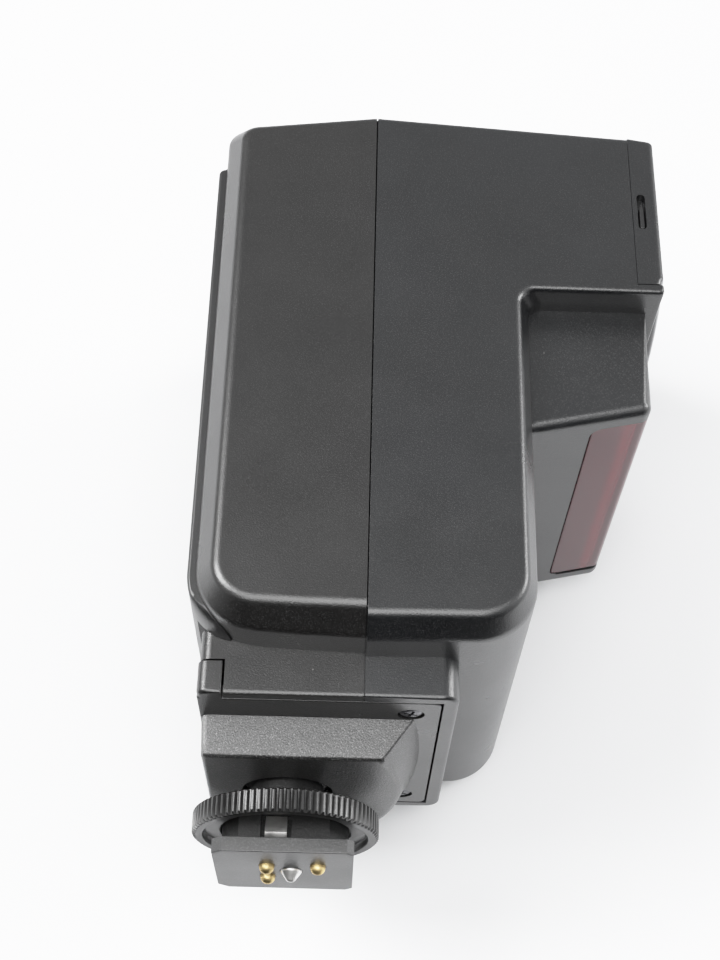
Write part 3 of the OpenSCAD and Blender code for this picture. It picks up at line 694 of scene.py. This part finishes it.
def panel_path(end):
    """Section of the panel; its foot follows the case's corner round to the angle end and thins out."""
    span = end - 180
    wrap = [(CORNER_X + r * math.cos(math.radians(a)), CORNER_Y + r * math.sin(math.radians(a)))
            for a, r in [(end - span * k / 20, 9.2 - 1.0 * max(0.0, 1 - k / 11) ** 1.5) for k in range(21)]]
    return (wrap + [(PX0, 60)] + arc(PX0 + PANEL_R, PANEL_TOP - PANEL_R, PANEL_R, 180, 90, 5)
            + [(PX1, PANEL_TOP), (PX1, 60)] + arc(CORNER_X, CORNER_Y, 8.02, 180, end, 20))


def panel_ring(z, pull):
    """The foot's lower corners are rounded off towards both sides of the panel."""
    end = 206 + 42 * math.sqrt(max(0.0, 1 - (max(abs(z) - 21.5, 0) / 6.1) ** 2))
    path = panel_path(end)
    held = {i: (0, 0) for i, (x, y) in enumerate(path)
            if abs(x - PX1) < 0.01 or y < CORNER_Y and math.hypot(x - CORNER_X, y - CORNER_Y) < 8.95}
    return put(inset(path, pull, held), z, "z")


def centred(z, y, half_z, half_y, r):
    """Outline of a plate on the panel about a middle point."""
    return rect(z - half_z, z + half_z, y - half_y, y + half_y, r)


def scale_opening():
    return prism(rect(-23, 23, 83, 94, 1.0), *PANEL_CUT, "x")


def slot_opening(z):
    return prism(centred(z, SWITCH_Y, 4.6, 1.6, 1.0), *PANEL_CUT, "x")


def panel_hole(y, z, r):
    return lathe([(r, x) for x in PANEL_CUT], y, z, axis="x")


flat_z = [0.0, 12.0, 21.5, 23.0, 24.2, 25.2, 26.0, 26.6, 27.05]
quarter = [math.pi / 8 * k for k in range(1, 5)]
side_rim = [(27.5 - 0.45 * (1 - math.sin(a)), 0.45 * (1 - math.cos(a))) for a in quarter]
panel = skin(mirrored(panel_ring, [(z, 0.0) for z in flat_z] + side_rim))
cut(panel, block(-17, -5, 20, 26.15, -23.15, 23.15),    # room for the base cover's upturned end
    block(*PANEL_CUT, 33.6, 65.2, -24.2, 24.2),         # battery door
    scale_opening(), *[slot_opening(z) for z in SWITCH_ZS],
    panel_hole(TEST_Y, TEST_Z, 2.75), panel_hole(LAMP_Y, LEVEL_Z, 1.65), panel_hole(LAMP_Y, READY_Z, 1.65))
round_edges(panel, lambda mid, e: abs(mid.x - PX0) < 0.01 and abs(mid.z) < 27 and 33 < mid.y < 95, 0.18, 2)
# raised frames round the scale window and the two switch slots
frames = [cut(prism(rect(-24, 24, 82, 95, 1.6), *FRAME_X, "x", 0.12, 0), scale_opening())]
frames += [cut(prism(centred(z, SWITCH_Y, 5.3, 2.3, 1.5), *FRAME_X, "x", 0.12, 0), slot_opening(z))
           for z in SWITCH_ZS]
fuse(panel, *frames)
piece("control_panel", panel, "flash_body", PANEL, ["rear_panel"])

# index marks beside the switches and the lamps, raised a little
MARK = moulded("index_mark", (0.62, 0.62, 0.60), 0.5, 0.15, 0.1, dust=0.0)
MARK_X = (-15.84, -15.68)
marks = [block(*MARK_X, 75.3, 76.5, z + dz - 0.16, z + dz + 0.16)
         for z in SWITCH_ZS for dz in (-SWITCH_REACH, SWITCH_REACH)]
marks += [block(*MARK_X, 80.5, 80.8, z - 0.9, z + 0.9) for z in (LEVEL_Z, READY_Z)]
piece("index_marks", together(*marks), "flash_body", MARK)

clear_plate = prism(rect(-22.85, 22.85, 83.15, 93.85, 0.9), -15.62, -14.5, "x", 0.2, 0)
piece("scale_cover", clear_plate, "flash_body", WINDOW, ["scale_window"])


def slide_knob(z):
    """Grooved knob with the flange that holds it behind the panel."""
    knob = prism(centred(z, SWITCH_Y, 1.9, 1.4, 0.5), -16.5, -14.4, "x", 0.25, 0)
    for dz in (-1.25, -0.42, 0.42, 1.25):
        fuse(knob, prism(centred(z + dz, SWITCH_Y, 0.22, 1.2, 0.2), -16.88, -16.3, "x", 0.15, 0))
    return fuse(knob, prism(centred(z, SWITCH_Y, 3.2, 2.6, 0.5), -14.42, -13.6, "x"))


# at rest both knobs are at the lower end of their slots
for name, z in zip(("power", "mode"), SWITCH_ZS):
    knob = slide_knob(z - SWITCH_REACH)
    piece(name + "_slider", knob, name + "_knob", KNOB, [name + "_switch"])

# the test button's face is slightly dished, and a flange holds it behind the panel
cap = [(0.01, -16.18), (1.1, -16.22), (1.9, -16.33), (2.15, -16.35), (2.4, -16.28), (2.58, -16.1),
       (2.65, -15.8), (2.65, -13.6), (3.3, -13.6), (3.3, -12.9), (0.01, -12.9)]
piece("test_key", lathe(cap, TEST_Y, TEST_Z, axis="x"), "button", BUTTON, ["test_button"])


def dome(z):
    """Small lamp with a domed front."""
    top = [(1.4 * math.sin(math.radians(a)), -15.75 - 0.44 * math.cos(math.radians(a)))
           for a in range(4, 91, 11)]
    side = [(1.55, -15.7), (1.58, -15.6), (1.58, -13.2), (0.01, -13.2)]
    return lathe([(0.01, -16.19)] + top + side, LAMP_Y, z, 32, "x")


ORANGE = clear("orange_lamp", (0.95, 0.28, 0.04), 0.12, 0.55)
GREEN = clear("green_lamp", (0.10, 0.62, 0.18), 0.12, 0.55)
piece("ready_light", dome(READY_Z), "flash_body", ORANGE, ["ready_lamp"])
piece("level_light", dome(LEVEL_Z), "flash_body", GREEN, ["level_lamp"])

# battery door: ribbed for grip, with a recess for the latch and a hinge barrel
DX0, DX1, DOOR_TOP = PX0, -14.3, 64.9    # outside, inside and upper edge
HX, HY = -15.0, 34.8                     # hinge
door_profile = ([(DX1, DOOR_TOP), (DX0 + 0.35, DOOR_TOP), (DX0 + 0.1, 64.8), (DX0, 64.5), (DX0, HY + 0.5)]
                + arc(HX, HY, 1.0, 150, 345, 12) + [(DX1, HY + 0.6)])
door = prism(door_profile, -23.9, 23.9, "z", 0.3, 0.3, lambda x, y: abs(x - DX1) < 0.01 or y < HY + 0.7)
cut(door, lathe([(0.55, -30), (0.55, 30)], HX, HY, 20, "z"), block(-17, -14.8, 56.9, 63.1, -5.1, 5.1),
    block(-17, -14, 58.4, 70, -3.1, 3.1))
round_edges(door, lambda mid, e: abs(mid.x - DX0) < 0.01 and abs(mid.z) < 5.2 and mid.y > 56.8, 0.2, 2)
for y in (49, 51, 53):
    fuse(door, prism(rect(-9, 9, y, y + 0.9, 0.44), DX0 - 0.5, DX0 + 0.2, "x", 0.3, 0))
for y in [38.6 + 1.3 * i for i in range(7)]:
    fuse(door, prism(rect(-20, 20, y, y + 0.6, 0.28), DX0 - 0.28, DX0 + 0.2, "x", 0.2, 0))
piece("cell_door", door, "door", PANEL, ["battery_door"])
latch = block(-15.75, -14.85, 58.6, 63.0, -4.95, 4.95, 0.18)
for y in (59.2, 60.4, 61.6):
    fuse(latch, prism(rect(-4, 4, y, y + 0.55, 0.26), -16.25, -15.6, "x", 0.2, 0))
fuse(latch, block(-14.9, -13.6, 60.1, 63.4, -2.95, 2.95), block(-13.75, -12.9, 60.1, 64.8, -2.95, 2.95, 0.1))
piece("latch_slider", latch, "latch", BUTTON, ["door_latch"])

# ------------------------------ base cover, pedestal, foot
FX = -2.5                                # axis of the foot
SOCKET_R = 6.25                          # hole for the foot's neck in cover and pedestal
COVER_X0, COVER_X1, COVER_W, COVER_TOP = -13.9, 17.5, 20.9, 18.2
LIP_X = -10.7                            # the cover's rear end turns up behind this
SCREW_X, SCREW_Z = 13.7, 16.9
cover = prism(rounded([(COVER_X0, -COVER_W, 0), (COVER_X1, -COVER_W, 1.2), (COVER_X1, COVER_W, 1.2),
                       (COVER_X0, COVER_W, 0)]), BASE_Y, COVER_TOP, "y", 0.15, 0)
upturned = rounded([(COVER_X0, -BASE_W, 1.3), (LIP_X, -BASE_W, 0.15), (LIP_X, BASE_W, 0.15),
                    (COVER_X0, BASE_W, 1.3)], 6)
fuse(cover, prism(upturned, BASE_Y, 20.8, "y", 0.6, 0.12, lambda x, z: x > LIP_X - 0.3))
screws = []
for z in (-SCREW_Z, SCREW_Z):
    cut(cover, lathe([(1.15, 15), (1.15, 19)], SCREW_X, z, 24),
        lathe([(1.78, 15), (1.78, 17.3)], SCREW_X, z, 32))
    screw = lathe([(0.01, 16.42), (0.9, 16.45), (1.3, 16.55), (1.55, 16.72), (1.6, 16.9), (1.6, 17.3),
                   (0.9, 17.3), (0.9, 24.0), (0.4, 24.6), (0.01, 24.6)], SCREW_X, z, 32)
    for turn in (20, 110):               # the two arms of the cross
        arm = block(-0.95, 0.95, 16.0, 17.05, -0.2, 0.2)
        turned = Matrix.Rotation(math.radians(turn), 4, "Y")
        arm.data.transform(Matrix.Translation((SCREW_X, 0, z)) @ turned)
        cut(screw, arm)
    screws.append(screw)
cut(cover, lathe([(SOCKET_R, 15), (SOCKET_R, 19)], FX, 0))
piece("base_plate", cover, "flash_body", CASE, ["base_cover"])
piece("base_screw_pair", together(*screws), "flash_body", SCREW, ["base_screws"])

PED_LOW, PED_H, PED_RIM, PED_CORNER = 11.0, 5.4, 0.55, 0.9
PED_HALF = 14                            # half its width at the lower end; it widens by 1 towards the base


def pedestal_ring(y, grow=0.0):
    """Outline of the pedestal at height y: wider and longer towards the base, with a bowed front."""
    t = (y - PED_LOW) / PED_H
    half, back, corner, mid = PED_HALF + t, -13.5 - 0.2 * t, 10.1 + 4.1 * t, 12.9 + 2.6 * t
    half, back, corner, mid = half - grow, back + grow, corner - grow, mid - grow
    r = ((half ** 2) + (mid - corner) ** 2) / (2 * (mid - corner))
    sweep = math.degrees(math.asin(half / r))
    front_arc = arc(mid - r, 0, r, -sweep, sweep, 22)
    c, part = PED_CORNER, PED_CORNER * 0.3
    lower = [(back, -half + c), (back + part, -half + part), (back + c, -half)]
    upper = [(back + c, half), (back + part, half - part), (back, half - c)]
    return put(lower + front_arc + upper, y, "y")


def pedestal_edge(mid, e):
    """Upright front corners of the pedestal."""
    on_side = abs(abs(mid.z) - (PED_HALF + (mid.y - PED_LOW) / PED_H)) < 0.12
    return on_side and mid.x > 8 and 11.4 < mid.y < 16.3


ped = []
for k in range(6):
    s, c = math.sin(math.pi / 2 * k / 5), math.cos(math.pi / 2 * k / 5)
    ped.append(pedestal_ring(PED_LOW + PED_RIM * (1 - c), PED_RIM * (1 - s)))
ped += [pedestal_ring(11.55 + (16.38 - 11.55) * k / 4) for k in range(1, 5)]
pedestal = cut(skin(ped), lathe([(SOCKET_R, 10), (SOCKET_R, 17)], FX, 0))
round_edges(pedestal, pedestal_edge, 0.3, 3, 15)
piece("pedestal", pedestal, "flash_body", BASE, ["foot_block"])

FOOT_HALF, FOOT_TOP, NECK_R, NECK_TOP = 9.3, 2.0, 8.6, 8.4
MID_X = -1.5                             # middle contact
PIN_R, MID_R, SEAT_Y = 1.02, 1.45, 3.2   # contacts, and where their bores widen
pins = [(-4.7, 2.6), (-4.7, -2.6), (2.1, 2.7)]
foot_outline = rounded([(FX - FOOT_HALF, -FOOT_HALF, 1.4), (FX + FOOT_HALF, -FOOT_HALF, 0.9),
                        (FX + FOOT_HALF, FOOT_HALF, 0.9), (FX - FOOT_HALF, FOOT_HALF, 1.4)], 1)
plate = prism(foot_outline, 0.0, FOOT_TOP, "y", 0.18, 0.18, None, 2)
flats = arc(FX, 0, NECK_R, -45.6, 45.6, 14) + arc(FX, 0, NECK_R, 134.4, 225.6, 14)
neck = fuse(prism(flats, FOOT_TOP - 0.05, NECK_TOP, "y"),
            lathe([(5.0, NECK_TOP - 0.5), (5.0, 11.6), (6.2, 12.2), (6.2, 20.8)], FX, 0))
for part in (plate, neck):
    cut(part, lathe([(1.5, -1), (1.5, SEAT_Y), (1.75, SEAT_Y), (1.75, NECK_TOP)], MID_X, 0, 32),
        *[lathe([(1.08, -1), (1.08, SEAT_Y), (1.3, SEAT_Y), (1.3, 7.6)], x, z, 28) for x, z in pins],
        block(-5.6, -1.5, 1.4, 6.0, 4.9, 7))


def bore_rim(mid, e):
    """Mouths of the contacts' bores in the underside of the foot."""
    return abs(mid.y) < 0.01 and any(math.hypot(mid.x - x, mid.z - z) < 1.6 for x, z in pins + [(MID_X, 0)])


round_edges(plate, bore_rim, 0.1, 1)
piece("foot_plate", plate, "flash_body", FOOT, ["shoe_foot"])
piece("foot_neck", neck, "flash_body", POST)

# ground contact: a bowed blade, drawn as (height, place across) and stood up by ACROSS
ACROSS = Matrix(((0, 0, 1, 0), (1, 0, 0, 0), (0, 1, 0, 0), (0, 0, 0, 1)))
bow = [(2.05, 5.1), (2.4, 5.5), (3.0, 6.1), (3.4, 6.35), (3.8, 6.25), (4.4, 5.9), (5.9, 5.0),
       (5.9, 5.25), (4.5, 6.15), (3.9, 6.5), (3.4, 6.65), (2.9, 6.4), (2.3, 5.75), (1.75, 5.3)]
blade = prism(bow, -5.0, -2.1)
blade.data.transform(ACROSS)
piece("ground_blade", blade, "flash_body", SILVER, ["ground_spring"])

# ------------------------------ lock wheel with eased teeth
TEETH, R_OUT, DEPTH, WY0, WY1 = 84, 12.7, 0.5, 4.4, 7.7
# a tooth's profile: share of the pitch, share of the depth
TOOTH = ((0.0, 1.0), (0.10, 0.55), (0.22, 0.05), (0.38, 0.0), (0.54, 0.05), (0.68, 0.55), (0.80, 1.0))
# the rim from each face inwards: distance from the face, how far it is drawn in, depth of the teeth
WHEEL_EASE = ((0.0, 0.55, 0.02), (0.12, 0.32, 0.12), (0.38, 0.0, DEPTH))
DISH_R = 11.25                           # dished underside


def wheel_ring(y, out, depth):
    pts = []
    for i in range(TEETH):
        for part, k in TOOTH:
            a = 2 * math.pi * (i + part) / TEETH
            r = out - depth * k
            pts.append((FX + r * math.cos(a), y, r * math.sin(a)))
    return pts


wheel_rings = [wheel_ring(WY0 + d, R_OUT - drawn, depth) for d, drawn, depth in WHEEL_EASE]
wheel_rings.append(wheel_ring((WY0 + WY1) / 2, R_OUT, DEPTH))
wheel_rings += [wheel_ring(WY1 - d, R_OUT - drawn, depth) for d, drawn, depth in reversed(WHEEL_EASE)]
wheel = skin(wheel_rings)
cut(wheel, lathe([(8.96, 4), (8.96, 8)], FX, 0, 72),
    lathe([(DISH_R, 4), (11.1, 5.1), (10.9, 5.3), (8.0, 5.3)], FX, 0, 72))
round_edges(wheel, lambda mid, e: abs(mid.y - WY0) < 0.01
            and abs(math.hypot(mid.x - FX, mid.z) - DISH_R) < 0.1, 0.14, 2)
piece("lock_ring", wheel, "wheel", WHEEL, ["lock_wheel"], 40)


def contact(x, z, r, nose):
    """Sprung pin: nose profile, shank and shoulder."""
    return lathe(nose + [(r, SEAT_Y), (r + 0.2, SEAT_Y + 0.05), (r + 0.2, 4.6), (0.01, 4.6)], x, z, 40)


cone = [(0.01, -1.48), (0.26, -1.46), (0.46, -1.38), (0.62, -1.24), (1.34, -0.26), (1.42, -0.14),
        (MID_R, 0.0)]
domed = [(0.01, -1.15)] + [(PIN_R * math.sin(math.radians(a)), -0.22 - 0.93 * math.cos(math.radians(a)))
                           for a in range(12, 91, 13)]
piece("middle_contact", contact(MID_X, 0, MID_R, cone), "pin_center", SILVER,
      ["center_pin"])
for name, (x, z) in zip(("rear_pin_right", "rear_pin_left", "front_pin"), pins):
    piece(name + "_contact", contact(x, z, PIN_R, domed), "pin_" + name.replace("_pin", ""),
          GOLD, [name])

# ------------------------------ looks of the CAD nodes that stay
def grid(nt, axis, count, width):
    """1 on thin lines that divide the node's box into count parts along an axis."""
    wave = maths(nt, "PINGPONG", maths(nt, "MULTIPLY", generated(nt, axis), float(count)), 1.0)
    return ramp(nt, wave, width, width * 1.6, WHITE, BLACK)


def scale_print():
    """Pale card with a plain dark grid."""
    m, nt, b = shader("scale_print", Roughness=0.45)
    base = mix(nt, ramp(nt, noise(nt, 5, 3), 0.3, 0.7), rgb(0.70, 0.70, 0.66), rgb(0.64, 0.64, 0.60))
    lines = mix(nt, 1.0, grid(nt, "Z", 12, 0.05), grid(nt, "Y", 4, 0.05), "LIGHTEN")
    colour_with(nt, b, mix(nt, lines, base, rgb(0.02, 0.02, 0.02)))
    return m


def two_colour_sleeve(name, first, second, at, axis="X"):
    """Shrink sleeve in two colours that meet at a share of the node's length, with fine wrinkles."""
    m, nt, b = shader(name, Roughness=0.3, Coat_Weight=0.3)
    body = mix(nt, ramp(nt, generated(nt, axis), at, at + 0.01), rgb(*first), rgb(*second))
    soil = ramp(nt, noise(nt, 3, 4), 0.35, 0.75, BLACK, (0.16, 0.16, 0.16, 1))
    colour_with(nt, b, mix(nt, soil, body, shade(first, 0.7)))
    emboss(nt, b, noise(nt, 1.2, 3), 0.2, 0.0001)
    return m


def board(name, base, track):
    """Circuit board: lacquered fibre weave with copper tracks."""
    m, nt, b = shader(name, Roughness=0.32, Coat_Weight=0.4)
    cell = node(nt, "TexVoronoi", {"Vector": coords(nt), "Scale": 420.0}, feature="DISTANCE_TO_EDGE",
                distance="EUCLIDEAN")
    tracks = ramp(nt, cell.outputs["Distance"], 0.05, 0.09, WHITE, BLACK)
    weave = mix(nt, ramp(nt, noise(nt, 0.5, 2), 0.3, 0.7), rgb(*base), shade(base, 0.75))
    colour_with(nt, b, mix(nt, tracks, weave, rgb(*track)))
    emboss(nt, b, tracks, 0.3, 0.00008)
    return m


CHIP = moulded("chip_black", (0.014, 0.014, 0.015), 0.5, 0.2, 0.3, dust=0.0)
CERAMIC = moulded("white_ceramic", (0.66, 0.65, 0.62), 0.5, 0.3, 0.2, dust=0.0, painted_glint=0.1)
CAN = metal("can_aluminium", (0.78, 0.79, 0.80), 0.3, (1, 12, 1), 0.5)
looks = {
    "reflector": metal("bright_reflector", (0.90, 0.91, 0.93), 0.16, (1, 1, 20), 0.8, 0.06),
    "flash_tube": clear("tube_glass", (0.90, 0.93, 0.95), 0.03, 1.0, 1.47, 0.05),
    "tube_caps": CERAMIC,
    "trigger_coil": metal("copper_coil", (0.80, 0.38, 0.20), 0.34, (1, 1, 30), 0.5, 0.5),
    "focus_lens": clear("lens_glass", (0.94, 0.95, 0.96), 0.02, 1.0, 1.5, 0.03),
    "focus_lamp": clear("dark_lamp", (0.30, 0.02, 0.03), 0.08, 0.5),
    "scale_plate": scale_print(),
    "control_board": board("green_board", (0.012, 0.13, 0.05), (0.05, 0.30, 0.10)),
    "control_chips": CHIP,
    "board_screws": STEEL,
    "door_pin": STEEL,
    "battery_box": INNER,
    "cells": two_colour_sleeve("cell_jacket", (0.022, 0.022, 0.024), (0.55, 0.33, 0.10), 0.74, "Z"),
    "cell_springs": STEEL,
    "cell_plates": metal("contact_plate", (0.80, 0.78, 0.72), 0.25, (1, 8, 1), 0.5),
    "main_capacitor": two_colour_sleeve("capacitor_sleeve", (0.012, 0.016, 0.06), (0.35, 0.37, 0.42), 0.86),
    "capacitor_cap": CAN,
    "power_board": board("brown_board", (0.20, 0.11, 0.035), (0.42, 0.24, 0.10)),
    "transformer": two_colour_sleeve("transformer_tape", (0.55, 0.42, 0.06), (0.03, 0.03, 0.03), 0.80),
    "transistors": CHIP,
    "foot_nut": STEEL,
}
for name, look in looks.items():
    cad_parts[name].data.materials.clear()
    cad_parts[name].data.materials.append(look)

# ------------------------------ floor, light and camera
def sheet(name, points, faces, look):
    """A flat piece of the stage, in metres."""
    mesh = bpy.data.meshes.new(name)
    mesh.from_pydata(points, [], faces)
    o = place(name, mesh)
    o.data.materials.append(look)
    return o


FLOOR = 3.0                              # half its width
sheet("floor", put(rect(-FLOOR, FLOOR, -FLOOR, FLOOR), 0, "z"), [(0, 1, 2, 3)],
      shader("floor_white", Base_Color=rgb(0.90, 0.905, 0.915), Roughness=0.6, Specular_IOR_Level=0.2)[0])

# a black card low in front keeps the undersides dark, out of the camera's sight and casting no shadow; its
# small patch under the foot and wheel is painted shadow, the floor's shade there as the undersides reflect it
CARD_Z = 0.001
card_outline = [(-1.2, -2.5), (1.2, -2.5), (0.6, -0.25), (0.02, -0.12), (0.0, -0.072), (-0.5, -0.072)]
# painted shadow: this patch darkens the reflected floor just under the foot and wheel
shadow_patch_outline = [(-0.05, -0.055), (-0.006, -0.055), (-0.006, -0.044), (-0.05, -0.044)]
card = sheet("card", put(card_outline + shadow_patch_outline, CARD_Z, "z"), [(0, 1, 2, 3, 4, 5), (6, 7, 8, 9)],
             shader("card_black", Base_Color=rgb(0.01, 0.01, 0.01), Roughness=0.9, Specular_IOR_Level=0.0)[0])
card.visible_camera = card.visible_shadow = card.visible_diffuse = False

world = bpy.data.worlds.new("studio")
bpy.context.scene.world = world
world.use_nodes = True
wt = world.node_tree
axes = node(wt, "SeparateXYZ", {"Vector": node(wt, "TexCoord").outputs["Generated"]}).outputs


def fade(axis, lo, hi, a, b):
    """Goes smoothly from a to b as the direction's axis goes from lo to hi."""
    sockets = {"Value": axes[axis], "From Min": lo, "From Max": hi, "To Min": a, "To Max": b}
    return node(wt, "MapRange", sockets, interpolation_type="SMOOTHSTEP").outputs["Result"]


# the room is dark low down behind the camera and brightest on the right, like a window beside the table
ROOM, SEEN_ROOM = 0.56, 0.66
low_front = maths(wt, "MULTIPLY", fade("Y", -0.80, -0.35, 1.0, 0.0), fade("Z", 0.45, 0.75, 1.0, 0.0))
dim = maths(wt, "SUBTRACT", 1.0, maths(wt, "MULTIPLY", low_front, 0.96))
level = maths(wt, "MULTIPLY", maths(wt, "MULTIPLY", dim, fade("X", 0.25, 0.85, 1.0, 1.9)), ROOM)
# seen directly, the room is a plain pale grey
seen = node(wt, "LightPath").outputs["Is Camera Ray"]
level = maths(wt, "ADD", maths(wt, "MULTIPLY", level, maths(wt, "SUBTRACT", 1.0, seen)),
              maths(wt, "MULTIPLY", seen, SEEN_ROOM))
wt.links.new(level, wt.nodes["Background"].inputs["Strength"])
wt.nodes["Background"].inputs["Color"].default_value = (0.985, 0.99, 1.0, 1)


def softbox(name, size, at, aim, power):
    light = bpy.data.lights.new(name, "AREA")
    light.shape, light.size, light.size_y, light.energy = "RECTANGLE", size[0], size[1], power
    o = place(name, light)
    o.location = at
    o.rotation_euler = (Vector(aim) - Vector(at)).to_track_quat("-Z", "Y").to_euler()


softbox("overhead", (0.62, 0.66), (-0.04, -0.265, 0.88), (0, -0.03, 0.03), 5.6)
softbox("left", (0.5, 0.5), (-0.62, 0.10, 0.74), (0, 0, 0.03), 11.0)
softbox("right_back", (0.5, 0.4), (0.80, 0.22, 0.45), (0, 0, 0.03), 5.5)

# the camera stands where a fit to the photograph's edges put it
CAMERA_AT = (-0.011875, -0.107127, 0.244500)
CAMERA_AXES = Matrix(((0.99957, 0.02148, 0.0203),            # right
                      (-0.02856, 0.87877, 0.47644),          # up
                      (-0.0076, -0.47676, 0.87898)))         # back
cam_data = bpy.data.cameras.new("camera")
cam_data.lens = 59.5
cam_data.sensor_width = 36.0
cam_data.clip_start = 0.01
camera = place("camera", cam_data)
camera.matrix_world = Matrix.Translation(CAMERA_AT) @ CAMERA_AXES.transposed().to_4x4()
bpy.context.scene.camera = camera

# highlights roll off, so the white floor keeps its soft shadow
TONE_CURVE = ((0.10, 0.24), (0.20, 0.46), (0.35, 0.72), (0.60, 0.92))
WHITE_LEVEL = 2.4
view = bpy.context.scene.view_settings
view.view_transform = "Standard"
view.use_curve_mapping = True
view.curve_mapping.white_level = (WHITE_LEVEL, WHITE_LEVEL, WHITE_LEVEL)
combined = view.curve_mapping.curves[3].points
for x, y in TONE_CURVE:
    combined.new(x, y)
combined[-1].location = (1.0, 0.985)
view.curve_mapping.update()
